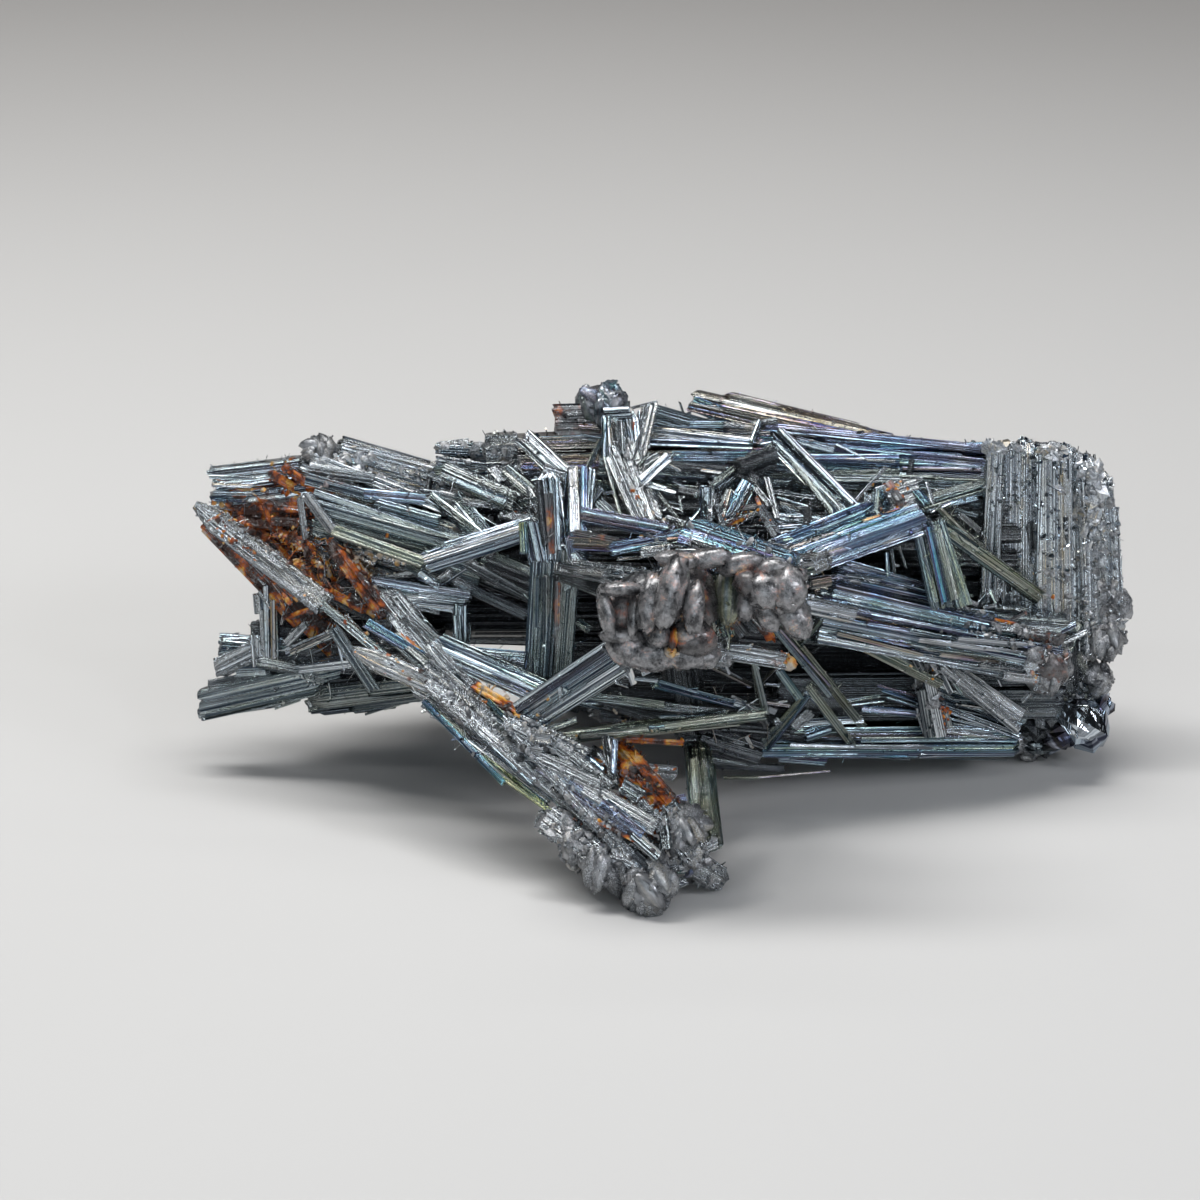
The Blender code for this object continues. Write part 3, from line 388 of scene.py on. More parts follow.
CRUSTS = table(Crust, (1, 3, 3, 1, 1, 2, 1), """
right_plate 42.0 57.2 10 50 57 11 1.5 130 0.3 1.2 frost
right_plate 50.0 57.0 11 57 49 10 2 260 0.2 1.2 frost
right_plate 56.4 50.0 9 57.4 34 8 1.3 260 0.2 1 dull
right_plate 52.8 54.0 8 55 34 6 1.7 240 0.1 0.6 frost
right_plate 46.0 34.6 7 56 32.4 8 1.5 150 0.2 0.9 dull
right_plate 47.0 53.4 9 45.6 41 8 1.2 110 0.1 0.5 dark
left_arm -42.0 57.0 14 -25 53 13 1.4 170 0.2 0.9 frost
left_arm -42.0 54.0 11 -28 49 9 1.8 130 0.1 0.7 frost
left_arm -57.4 51.0 6 -42.4 39.4 -3 0.7 60 0.1 0.4 slate
left_arm -41.0 36.4 -4 -30 28 -10 1.4 40 0.1 0.5 rust
left_arm -48.0 43.8 6 -43.8 42.6 5 0.9 70 0.2 0.7 ochre
left_arm -53.0 48.0 8 -42 40 3 2.4 200 0.2 1 rust
left_arm -37.6 43.6 3 -33.4 42.8 2 1 60 0.2 0.6 tan
front_leg -30.0 30.6 -12 -19 21.6 -20 1.8 120 0.1 0.6 slate
front_leg -19.0 21.6 -20 -5 8.6 -30 1.8 110 0.1 0.6 slate
front_leg -27.0 27.0 -12 -8 11 -26 2 60 0.2 0.8 shade
front_leg -9.0 7.0 -27 1 3 -31 2.4 50 0.2 0.9 onyx
front_leg -16.0 23.0 -20 -9 18.6 -24 1.2 50 0.2 0.7 slate
front_leg -12.0 8.6 -26 2 2.4 -31 2.4 220 0.3 1.1 dull
front_leg 1.0 9.6 -28 6 4 -29 2 130 0.3 1 dull
front_leg -5.0 15.6 -20 -1 11.6 -24 1.8 90 0.2 0.9 maroon
front_bundles 41.0 36.0 1 50 31 3 1.5 150 0.2 0.9 dull
front_bundles 48.6 33.0 2 48 27 2 1.6 130 0.3 1.1 maroon
front_bundles 47.0 27.6 7 54 25.6 8 1.4 110 0.3 0.9 dark
front_bundles 33.4 31.0 -2 34 23 -1 1.2 80 0.2 0.9 dull
front_knob -5.0 32.0 -27 7 31.2 -26 1.6 60 0.1 0.6 dull
front_knob 3.0 45.0 -17 17 42.4 -25 1.6 110 0.1 0.6 dull
front_knob -7.0 38.0 -26 3 38 -28 3.4 150 0.1 0.7 pearl
front_knob 10.0 39.0 -26 18 38 -26 2.6 110 0.1 0.6 pearl
middle_uprights -27.6 56.6 14 -17 56.6 13 1.6 110 0.2 0.8 dull
rear_bars -5.0 57.0 12 -1 48 3 1.6 90 0.1 0.5 dull
""")
FAR_SIDE = {}
FAR_SIDE["far_bars"] = crystals("""
back_bar_high -30 22 30 14 27 36 5 4.4 180 3 cut chisel bright
back_bar_low -42 17 17 6 24 12 5.4 4.6 190 3 chisel cut dull
back_bar_right 4 24 24 52 21 17 5.6 4.6 180 3 cut dome bright
back_lean -20 24 34 2 22 9 4.2 3.6 180 2 chisel cut sky
back_lean_right 42 22 33 24 22 6 4.2 3.6 180 2 dome cut bright
back_foot_bar -4 14 22 -11 26 -1 5.2 4.8 180 2 cut chisel dull
back_foot_brace 10 16 20 -8 25 3 3.6 3.2 0 1 cut cut dull
back_slat -36 18 30 -30 20 12 3.4 2.8 0 1 cut chisel dull
back_shelf 14 12 9.5 46 17 8 5 5 180 2 cut dome dull
""")
FAR_SIDE["hidden_core"] = crystals("""
inner_high -30 13 31 46 14 31 9 9 0 4 cut cut shade
inner_middle -36 12 22 46 13 22 9.5 9 0 4 cut cut shade
inner_low -12 9 13 48 11 12.5 9 9 0 4 cut cut shade
inner_left -47 14 28 -22 12 27 7 6 0 3 cut cut shade
inner_right 48 14 33 50 12 10 8 7 0 3 cut cut shade
""")
print(sum(len(rows) for rows in DRAWING.values()), "crystals,", len(HEADS), "heads and",
      sum(len(rows) for rows in FAR_SIDE.values()), "bars on the far side and inside")

# %% [markdown]
# ## Small crystals
# Between the large bars lie hundreds of small ones: broken laths, chips, stubs and needles. They
# are too small for the solid, yet much of the look. A row below holds one of them: its two ends
# on the display plane, as across, up and back, its width, and its coat.

# %% The drawing: small crystals of each piece
BITS = {}
BITS["left_arm"] = """
-56.4 54 12.5 -48.1 54.6 13.5 0.6 bright
-56.1 53.5 11 -50.5 53.3 11.5 0.5 bright
-55.8 52.5 10.8 -50.8 52.3 11.2 0.6 pale
-55.6 51.5 10.6 -50.8 51.4 11 0.5 bright
-55.5 50.6 10.8 -51.2 50.5 11 0.6 sky
-55.1 49.9 11.5 -50.5 49.1 12 0.7 dull
-50.5 53.6 13 -45 54.8 15 1.5 dull
-48.3 53.8 12 -44.2 51.4 12 1.2 rust
-46.9 54.8 12.5 -44 52.6 11 1 rust
-51.2 51.4 12 -47.1 49.7 11 1.1 rust
-50.5 49.7 11.5 -44 49.2 10 1 rust
-52.5 48 10 -48.3 47.3 10 1 rust
-49.3 50.2 9.5 -47.9 45.8 8.5 0.6 rust
-48.3 48 9 -45 47.8 8.5 1.1 rust
-47.9 46.8 9 -44.2 44.9 8 1.5 rust
-45 45.8 8 -41.1 42 6.5 1.5 rust
-44 45.4 8.5 -41.1 43.9 7 0.7 dull
-45.4 42.5 6 -41.6 38.6 3.5 1.5 rust
-43.5 40.5 5 -36.7 36.9 1 1.1 rust
-41.6 42.9 6.5 -40.1 39.3 4 0.5 rust
-43 43.9 6.5 -41.6 40 4 0.7 maroon
-38.7 38.6 2.5 -35.3 36.2 0.5 1 rust
-40.9 45.1 5.5 -34.7 36.8 0 1.9 rust
-40.5 45.1 6 -34.3 37.6 0.5 0.5 dull
-58 49.8 8 -45 38 -1 0.6 rust
-41.6 45.8 5 -40.6 43.7 5 0.2 bright
-41.8 43.9 5 -41.6 41 4 0.2 dull
-41.5 40.8 4 -40.6 39.2 3 0.2 bright
-40.5 40 3.5 -39 41.1 4.5 0.2 pale
-40 40 3 -39.4 39.4 3 0.2 pale
-50.3 40 8 -49.7 41.4 8.5 0.2 dull
-50 40.8 8 -49.2 40 7.5 0.3 dull
-49 40 7.5 -48.8 30.6 6.5 0.8 bright
-48.2 38.1 7 -48.1 30.7 6 0.6 pale
-49.6 36.9 7.5 -49.3 30.9 6.5 0.6 dull
-50.2 38.8 8 -50 36.4 7.5 1 dull
-49.7 39.3 8 -48.3 37.1 7 0.9 dull
-48.1 40 7 -45.9 37.6 4.5 0.7 rust
-47.5 38.8 6 -46.4 36.2 5 0.4 rust
-46.4 38.6 5.5 -47.1 35 5.5 0.3 dull
-46.9 35.9 5 -43 37.1 3 0.6 rust
-46.4 32.8 5 -44 35.2 4 1.2 dull
-45.4 33.8 4.5 -43.8 35.4 4 0.4 pale
-45.9 31.6 4.5 -40.5 34 1.8 0.7 gold
-44 31.1 4 -41.8 32.1 3 0.2 pale
-44.7 29.6 3.5 -36.4 30.6 -1 1.3 bright
-41.6 29.4 2 -36.7 30 -0.5 0.5 pale
-40.5 34.4 1.8 -38.4 30 0.8 1.1 bright
-40.3 34.2 1 -39.2 29.3 0 0.3 pale
-38.4 35.8 1 -37.5 33.8 0 0.3 pale
-38.2 35.2 1 -34.1 30.6 -3 0.6 bright
-39.2 36.2 1.5 -35.3 31.3 -2.5 0.8 dull
-36.6 30.9 -1 -28.5 28.2 -6 3.1 dull
-36 30.1 -1.8 -31.4 28 -4.5 1 sky
-33.4 35.9 -1 -31.9 33.3 -2.5 0.5 dull
-33.1 35.9 -2 -33.4 33.8 -2.5 0.2 bright
-32.4 33.8 -3 -30 31.6 -5 0.9 rust
-32.2 34 -2.5 -30.2 34.1 -3 0.2 pale
-34.6 32.8 -1.5 -33.1 34.2 -2 1 dull
-30.5 35.7 -3 -27.6 33 -4.5 1.5 dull
-35.3 35.2 -1 -29.5 35.4 -3 1 shade
-30 41 0 -27.3 40 -1.5 0.7 bright
-34.3 40 1.5 -29.5 39.3 0 1.1 bright
-34.8 38.8 1 -27.3 37.5 -1 1 pale
-34.3 38.1 0.4 -27.3 36.5 -1.6 0.6 dull
-33.4 37.1 0 -28.8 33.8 -3 1.2 dull
-31.9 37.1 -0.5 -28.8 35.2 -3 0.5 bright
-54.3 33.2 8 -50 33.5 7 0.3 bright
-54.8 31.5 8.5 -50.5 32.4 7 0.4 bright
-54.4 33.6 8.6 -54.9 31.2 8.8 0.3 dull
-53.2 31.2 7.5 -50.5 32.5 7 0.2 pale
-51.2 33.3 7 -49.1 30.4 6.5 0.4 pale
-52.9 30.4 7.5 -49.6 31.1 6.5 1.1 dull
-52.7 29.2 7.5 -48.8 29.4 6 1.5 bright
-55.4 30.6 8.6 -53.4 29.6 8.2 1 dull
-50.3 33.8 7.5 -50 29.9 6.6 1.5 dull
-50 30.4 6.5 -45 29.4 4.5 1.7 dark
-57 24.6 8 -50.5 26.9 6.6 2 dark
-57.3 24 7.6 -47.1 25.5 5 1.5 dark
-56.2 27.5 8 -48.8 28.8 6 1.2 dull
-48.8 25.1 5.2 -43 26.7 4 0.6 dark
-49.1 24.6 5 -45.9 25.5 4.4 0.4 dark
-47.9 24.5 4.8 -44.7 25.6 4.2 0.3 dark
-45 26 4.6 -42.5 27 4 0.5 dark
-49.3 26 6 -43 28.2 4 1.7 dark
-43.8 24.8 4 -36.7 26.3 1 1.8 dark
-43.3 24.1 3.6 -38.7 24.6 2 0.6 dark
-38 24.3 1.6 -32.9 24.9 0 0.8 dark
-36.6 23.8 1.2 -34.1 24.6 0.4 0.3 dark
-34.3 24.6 0 -30 26 -1.6 0.7 dark
-31.4 25.5 -1 -29.7 25.9 -1.8 0.4 dark
-43 27.2 4 -30 28.4 -2 1.7 shade
-45 29.2 4.5 -41.6 28 3.5 1.5 dark
-44.7 51 5 -44 45.8 5 1 dull
-44 51.4 4.4 -40.6 46.8 4.2 1.5 dull
-40.6 46.8 3 -29.3 42.7 0.5 1.5 green
-43 51.6 6.5 -27.3 46.2 3.5 1.1 bright
-41.1 46.3 4.5 -39.2 43.9 4 1.2 shade
-39.6 44.5 5.5 -35.3 42.5 3.5 1.2 dull
-37.7 44.4 4.5 -30.7 42.7 2.4 1 dull
-34.3 40.8 2 -30 41.5 1 1 dull
-31.4 42.5 1.5 -27.3 40 -0.5 1.2 dark
-36.7 51.4 8.6 -29 50.7 7 1.5 iris
-35.3 50.2 7.5 -27.3 48 5.5 1.5 bright
-43.5 54.5 12 -35.5 53.3 10 1.7 dull
-44 53.3 10.5 -35.3 50.9 8.5 1.5 bright
-36.7 56.2 16.5 -29.7 53.8 15 0.6 pale
-41.6 55.7 14.5 -35.3 55.5 13.5 1.2 bright
-44 56.7 15 -41.1 55 14 1.7 dull
"""
BITS["middle_uprights"] = """
-29.3 43.1 -2.6 -16.7 47.2 -1.6 1.1 pale
-29.1 42.2 -1 -16.7 45.8 0 0.8 dark
-27.2 39.8 0.6 -23.9 42 -0.4 0.4 bright
-28.3 40 1.5 -25.9 41.5 1 1 dull
-29.8 41.7 0 -27.3 39.7 -1 1 bright
-16.9 47.8 -1.8 -16.7 43.9 -3 1.1 sky
-15.6 47.8 -2 -14.3 42 -4 1.4 bright
-15.5 41.7 -4.4 -14 41.1 -4.6 1 dull
-14.9 53.1 -0.6 -14 44.9 -4 1 shade
-13.7 51.4 -1.6 -13.1 43.9 -4.4 1.2 maroon
-12.8 53.3 -1 -12.5 44.9 -4.4 0.8 bright
-14.3 54.5 0.6 -12 53.8 0.6 1.2 dull
-13.1 53.6 -0.6 -12 50.9 -1.4 0.7 pale
-10.7 54.8 1 -10.4 46.3 -3.4 1.4 pale
-9.2 54.8 1.4 -9.2 45.8 -3.2 0.8 iris
-8.4 54.3 2 -8.7 46.8 -2 0.6 dark
-11.1 45.8 -4.6 -10.7 42.7 -5.2 1.2 sky
-15.2 41 -6.4 -15.5 28.4 -8.8 0.7 dark
-14 41 -6.6 -14 28.3 -9.2 1 dark
-12.6 40.5 -6.6 -12.8 28.2 -9.2 0.7 maroon
-11.6 40 -6 -11.7 29.2 -8.6 0.7 dark
-16 36.2 -6.8 -15.6 28.9 -8.4 0.3 bright
-29.8 38.6 -0.6 -23.9 37.9 -2 1.3 bright
-29.8 37.6 -0.8 -24.1 37 -2.2 0.6 pale
-25.2 36.2 -3 -24.9 32.5 -4.4 1.1 bright
-24.3 36.2 -3.2 -23.9 32.3 -4.6 0.5 pale
-28.8 32.5 -8.4 -23.9 28.7 -10.8 1.1 dull
-26.1 32.7 -8.6 -14.3 26.5 -13.4 0.7 sky
-25.4 31.8 -9.2 -14.8 25.5 -13.6 0.5 gold
-23.7 32.1 -8 -14.8 27.7 -12.4 0.6 bright
-22.5 31.6 -6.2 -16.2 29.9 -7.8 0.7 bright
-22.5 30.5 -6.4 -16.2 28.9 -8 0.6 pale
-16.7 24.6 -17 -4.6 32.8 -21.6 1 bright
-16.2 24.3 -17.6 -4.1 31.6 -22 0.6 pale
-9.7 26.7 -20 -3.9 30.4 -22.4 0.6 bright
-16.9 23.6 -16.6 -11.9 27.2 -18.6 1.1 maroon
-12.5 28.8 -18.6 -12 25.5 -19.6 0.7 bright
-11.9 29.4 -18.8 -11.1 28.2 -19.2 0.5 bright
-12.1 26.3 -17.6 -5.6 25.8 -16 0.8 dark
-12.1 25.4 -17.4 -7.5 25.2 -16.4 0.4 bright
-15.2 23.4 -16.6 -12.1 25.1 -17.6 1.2 green
-25.3 28.8 -10.6 -24.1 27.2 -11.6 0.4 iris
-27.8 30.4 -10 -23.7 26.7 -12 0.8 dull
-23 27.5 -12 -16.2 23.4 -15.6 1.2 rust
-21.3 25.5 -14.6 -19.4 23.6 -16 0.7 sky
-12.8 42.2 -7 -0.7 40 -21 1.5 dull
-12.3 42.5 -7.6 -1.2 40.8 -21.6 0.6 pale
-12.8 41.5 -7 -5.6 38.6 -17 1.5 shade
-10.4 46.6 -4.4 -5.1 45.6 -9.6 0.7 maroon
-9.7 45.8 -4 -5.3 44.6 -10 1 dark
-8 48 -2.6 0.2 46.8 -9.4 1.2 lilac
-11.4 44.9 -4.4 -9.7 42.9 -6 1 bright
-16.2 58.2 9.4 -11.1 53.9 3.6 1.9 dull
-15.2 56 7 -11.4 53.1 3 0.7 dark
-21.4 57.9 13 -18.6 53.6 12 1.9 maroon
-19.1 54.5 10 -15.7 51.6 7 1.9 dark
-20.6 54.5 11 -19.1 52.8 9 1.5 dull
-27.8 57 14.4 -21.5 56.7 14 1.2 bright
-27.8 55.7 13.4 -21.4 54.8 12.6 1 pale
-27.6 57.4 15 -23.7 57.9 14.6 1 dull
-27.9 54.3 12.4 -26.6 54.5 12 1.2 dark
-26.1 53.3 10.6 -18.9 50.2 5.4 1.5 dark
-26.6 53.8 12 -21 52.8 9 0.7 dull
-28.3 50.9 9 -21.8 45.8 4 1.5 bright
-27.3 51.2 9.4 -25.2 50.7 8.4 1.7 dull
-29.8 51.6 10 -27.1 51.2 9 1.2 bright
-24.4 50.4 8 -19.6 49.9 6.4 1 dull
-23.7 50.9 8.4 -20.6 49.7 7 0.5 pale
-19.6 48.7 5.6 -15 48 2 1.2 dull
-19.1 49.7 6.6 -14.8 50.7 3.6 0.8 dark
-18.1 49.2 6 -15.2 47.3 2 0.5 rust
-21.8 48.5 5.8 -19.1 46.8 4 0.3 pale
-21 48 5.4 -19.4 46.7 4.4 0.2 pale
-16.2 52.1 6 -14.8 49.2 3 1 dull
-16 51.4 5 -16.2 48.7 3 0.4 pale
-20.3 43.7 0 -15.7 41.7 -3 1.2 dark
-23.9 42.7 1.6 -15.7 38.3 -2 1.5 shade
-26.6 41 2 -16.2 36.2 -3 1.5 shade
-8 50.9 1 -5.3 48.3 -3 1.5 dark
-8.5 50.2 0 -7 52.1 0 0.7 dull
-6.8 51.4 0 -5.6 51.6 -1 0.5 pale
-9 54.1 4 -7.3 57.9 10 0.7 dark
-9.9 35.4 -12 -8.7 34.5 -14 1 green
"""
BITS["rear_bars"] = """
4.5 62.8 27 9.4 60.9 25.4 2.3 sky
4.7 63 27.4 6.7 62.4 26.8 1.3 gold
6.7 61.1 26.4 9.2 60.6 25.6 1 iris
8.2 62.7 26 26.9 58.6 19.6 1.3 gold
9.7 62.9 26.6 26.1 58.8 20.2 0.5 sky
-1 59.3 17.6 11.5 57.8 16.4 1.5 pale
-1.3 57.8 16.6 11.8 57.3 15.4 0.9 bright
-1.3 60.1 18.6 8.2 60.1 17.6 0.9 bright
1.5 61.1 20 10.8 59.7 19 0.8 dull
-9.8 59.7 17.4 -7.2 59.5 17.2 1 gold
-9.8 58.6 16.8 -7.2 58.1 16.6 0.9 bright
-0.5 62 20 4.6 60.2 19.4 0.8 dark
-2.1 62 19.4 4.6 60 18.6 0.4 bright
-3.3 62.1 19 -0.1 62.9 20.6 0.4 dull
-6.7 61.4 16 -3.3 61.6 15.4 1.5 bright
-5.9 60.6 15.2 -5.6 56 12.8 1 pale
-6.7 60.9 14.4 -6.8 56 12 0.6 bright
-4.6 60.4 14.6 -4.4 56.2 12 1.3 dull
-3.6 60.6 15 -2.8 59.6 14.6 1.3 dull
-3.2 60.4 14.6 -3 59.3 14.4 0.4 rust
-1.3 61.9 18 -3.1 53.9 9.4 1.3 dull
-1 56.5 12 -2.3 55 9.4 0.5 dark
-5.6 56 11.6 -2.1 47.8 1.8 2.1 dull
-3.6 55.2 10.4 -0.8 47.3 1.4 1.2 dull
-6.7 56 11.4 -4.6 48.3 2.4 0.4 dark
-2.2 52.9 7 1.3 56.1 9.6 1.1 bright
-1.8 52.5 6 1.5 55.5 9 0.4 pale
0.5 56.2 9.6 2.8 56.4 10 0.4 bright
1.3 55 9.4 2.8 54.2 9 0.4 pale
-2.1 55 10.4 -0 56.2 11.6 0.8 dull
1.8 56 13 11.3 56 13 1.5 iris
1.5 55 11.6 8.2 54.2 12 1.3 shade
5.4 54.3 10.6 7.9 53.9 10.2 0.4 pale
6.1 54.5 10.8 9.7 53.4 10 0.3 bright
6.7 52.3 6 12.3 56.6 13.6 1 dark
10.2 54.7 9 14.9 56.5 13.6 2.1 shade
9.7 54.2 10 12.6 53.2 8.6 1.5 shade
11.8 57.8 15.4 12.8 60.4 17.6 1 bright
12 59.8 18.4 12.6 60.4 19 0.5 pale
12.8 57.5 15.4 14.1 57.8 15.6 0.9 bright
13.3 56.5 13 15.2 56.6 14 0.8 dull
14.6 58.6 15.4 23.8 48.8 4.4 0.9 bright
15.9 56.5 13 22 48.6 4 0.7 dark
16.9 56.2 14 23.8 48.6 4.6 0.7 gold
16.1 56.8 13 16.4 55.2 12 0.3 pale
11.8 60.1 20.4 14.9 60.6 20.2 0.8 dull
14.9 59.6 20.6 21 58.8 19.6 1.3 dull
15.9 59.8 20.6 19 59.3 19.8 0.5 bright
19.7 58.8 19.4 24.4 58.6 18.6 1 bright
17.4 58 19 22 56.8 17.4 1.3 dark
21 57.8 19 30.2 57.3 17.4 0.9 sky
18.5 56 16.6 30.2 56 15.4 0.6 iris
20 55.5 15.8 30.2 55.2 14.4 0.6 sky
14.1 53.7 15 30.2 54.2 14 0.7 green
19 53.4 14 30.2 53.1 13 0.9 dark
22.3 57.5 17.4 27.2 55 15 0.5 bright
23.6 55.7 15.4 29.7 55.4 14.4 0.4 dull
23.8 49.5 6 28.5 54.7 13 0.5 dull
27.8 57.3 17.6 40.8 57.5 16.6 0.8 sky
27.8 56.4 16.6 38 56.1 15.8 0.8 iris
35.5 57.1 16.8 40.8 57 16.2 1 gold
36.2 55.4 16 40.8 55.3 15.2 0.6 gold
27.8 55.4 15.8 35.5 55 15.2 0.6 green
30.6 54.5 15 40.4 54.3 14.2 0.6 iris
30.8 53.8 14.6 40.4 53.3 13.6 0.6 shade
27.8 53.8 15 31.5 53.8 14.4 0.5 bright
38.3 57.4 17.6 40.7 57.5 17.4 0.7 dull
"""
BITS["valley"] = """
-1.3 52.4 6.6 2.2 51.5 5.6 0.5 pale
-1 52.7 6.8 1 52.1 6 0.3 bright
0.1 51.4 6 3.3 47.1 1.6 0.6 dark
1.9 53 9 4.4 51.6 7 0.4 dark
2.6 51.9 7 5.6 51.4 6.6 1 shade
3.6 47.5 2.6 5.4 49.7 4.6 0.3 bright
5.6 52.3 6.4 5.8 47.3 2.4 0.8 bright
6.7 51.9 6 6.5 47.3 2.2 0.6 dull
6.9 51.1 5.4 8.3 47 1.6 0.7 dull
1.3 50.4 5.4 3.3 49.9 5 0.2 pale
1.5 49.8 5 3.1 49.3 4.6 0.3 dull
-1 50.9 6 0.1 50.8 6 0.3 dull
-0.4 48.8 3.6 0.5 48.3 3 0.6 pale
0.5 49.3 4 1.5 49.8 4.6 0.3 dull
8.2 48.6 3.4 9.1 51.9 7.4 0.5 gold
8.7 48.6 3.4 10.5 52.3 8 0.8 sky
9.5 48.6 3 11.5 52.3 7.6 0.5 bright
10 48.6 2.6 11.8 51.9 7 0.3 gold
7.9 49.8 5 8.7 51.9 7 0.4 dark
12 52.4 8 14 49.8 4.6 0.9 dull
13.6 53.4 9 14.9 48.3 3.6 0.7 dull
12.3 50.9 6 12.8 49.8 5 0.5 rust
14.4 51.6 8 19.7 50.9 7 0.6 dull
14.9 50.9 7 18.7 49.8 6 0.3 bright
8.2 47.8 3 12.7 49 4 0.7 dull
8.7 47.4 2.4 10.8 48.3 3.4 0.3 rust
12.8 49.7 4.6 14.9 46 1 1.4 shade
13.3 49.8 5 14.4 49.8 5 0.5 pale
18.7 49.5 4.4 18.7 46.8 1 1.2 shade
19.1 50.7 6 19.2 49.5 5 0.3 pale
15.2 50.2 6.4 17.9 49.5 5 0.4 pale
15.6 49.6 6 17.4 49.1 5 0.5 bright
14.6 47.1 2.6 18.1 47.4 2 0.6 bright
14.9 46.6 1.6 17.4 46.5 1 0.4 pale
19.2 47.8 3 22 47.8 2.4 0.8 bright
19.5 48.6 4 21.3 48.3 3.4 0.5 dull
15.9 48.3 4 17.9 48.2 3.6 0.6 pale
10.5 49.6 5 12.3 49.8 5 0.8 maroon
4.6 50.9 6 5.6 51.9 7 0.4 dark
2.6 51.1 6 3.1 48.8 4 0.3 dark
1 48.6 3 3.6 47.8 2 0.4 dull
25.8 47.9 1.6 26.1 51.5 6 0.5 bright
26.9 47.8 1.2 27.2 51.6 5.8 1 dark
27.7 51.9 7 28.7 49.6 5 1.1 iris
27.2 51.9 7.6 29.7 52.7 8 0.6 dull
28.7 52.7 8 30.2 50.4 6 1.3 maroon
30.1 52.2 8 30.3 49.6 6.4 1.2 maroon
31.7 52.4 8.6 33.6 50.1 6.6 1.4 lilac
28.9 52.6 9 33.1 53.2 9.6 0.6 dull
33.6 52.9 9 34.4 50.1 7 0.5 dull
27.8 51.5 7 28.7 50.1 6 0.8 bright
34.5 51.7 10 39.4 51.5 11 0.7 dull
34.1 49.1 6 36.5 50.3 7.4 0.5 bright
36.6 50.1 8 39.9 50.8 10 0.7 iris
37.1 49.4 7.6 39.9 48.7 9 0.6 dark
37.8 48.7 7 40.1 46.8 9 0.9 dull
34.8 48.2 4.6 35.9 49 6 0.2 pale
35.5 48.9 5 40.8 44.7 8.6 0.5 green
35.9 48.2 5 39 46.3 7.6 0.2 rust
35.7 47 1.6 46.9 39.1 8.8 0.7 green
35.9 46.3 1 46.4 38.6 8.4 0.4 gold
45.5 41 8 47.1 38.9 8.8 0.6 dull
"""
BITS["blue_bars"] = """
15.5 45.7 -3.4 25.6 48.6 0.6 0.9 iris
15.9 45 -3.8 25.9 47.3 0 0.6 bright
16.1 44.5 -4.2 22 46.5 -2.4 0.4 gold
17.4 43.9 -5.2 30.2 48.6 -0.4 0.9 sky
17.9 43.7 -5.6 30.2 47.3 -1.2 0.6 iris
18.5 43.4 -5.8 28.7 46 -2 0.5 gold
25.6 47.8 -0.6 30.2 49.1 0.6 0.8 pale
20.8 45.7 -2.4 25.9 47.1 -1 0.4 bright
27.8 48.2 -0.4 32 48.7 0.8 1.4 iris
27.8 47 -1.4 32.2 47 -0.4 1 gold
27.8 45.9 -2 30.8 46.3 -1.4 0.9 sky
28 45.2 -2.6 30.3 45.6 -2 0.7 dull
31 49.8 1.6 33.6 47.7 0 1.2 dull
30.8 49.1 0.6 32.4 47.3 -0.4 0.8 bright
32.4 47 -0.8 34.5 37.7 -3.6 1.4 dark
33.8 47.3 -1.4 35.9 37.9 -4.2 0.8 lilac
34.8 47.5 -0.6 37.1 38.2 -3.4 0.9 green
35.5 47.7 0.2 38.3 38.4 -2.4 0.5 dull
36.6 43.1 -0.6 39 37.9 -2.6 0.3 dull
29.2 44.5 0 29.6 41.2 -1.6 0.5 dark
30.1 44.9 1 31 42.1 -0.4 0.3 dull
28.5 44 -0.6 28.7 41 -2 0.7 green
29.2 42.6 0 30.1 42.4 0 0.3 pale
40.4 38.6 3 41.8 39.3 4.4 0.5 bright
39.9 37.7 2 41.5 39.6 3.4 0.3 pale
41.3 39.6 3.6 42.2 37.7 3 0.3 bright
37.8 38.4 -0.6 39.9 37.5 0.6 0.6 dull
42.2 37.2 4 46 37 6 0.6 dark
44.1 35.6 4.6 46 36.5 6 0.5 maroon
42.2 34.9 2.6 44.6 34.4 4 1.2 gold
45.5 36.1 6 47.4 35.4 6.6 0.5 rust
42.7 38.4 5 42.7 42.1 8 0.5 dull
43.6 37.5 6 43.9 40.3 8.4 0.7 shade
"""
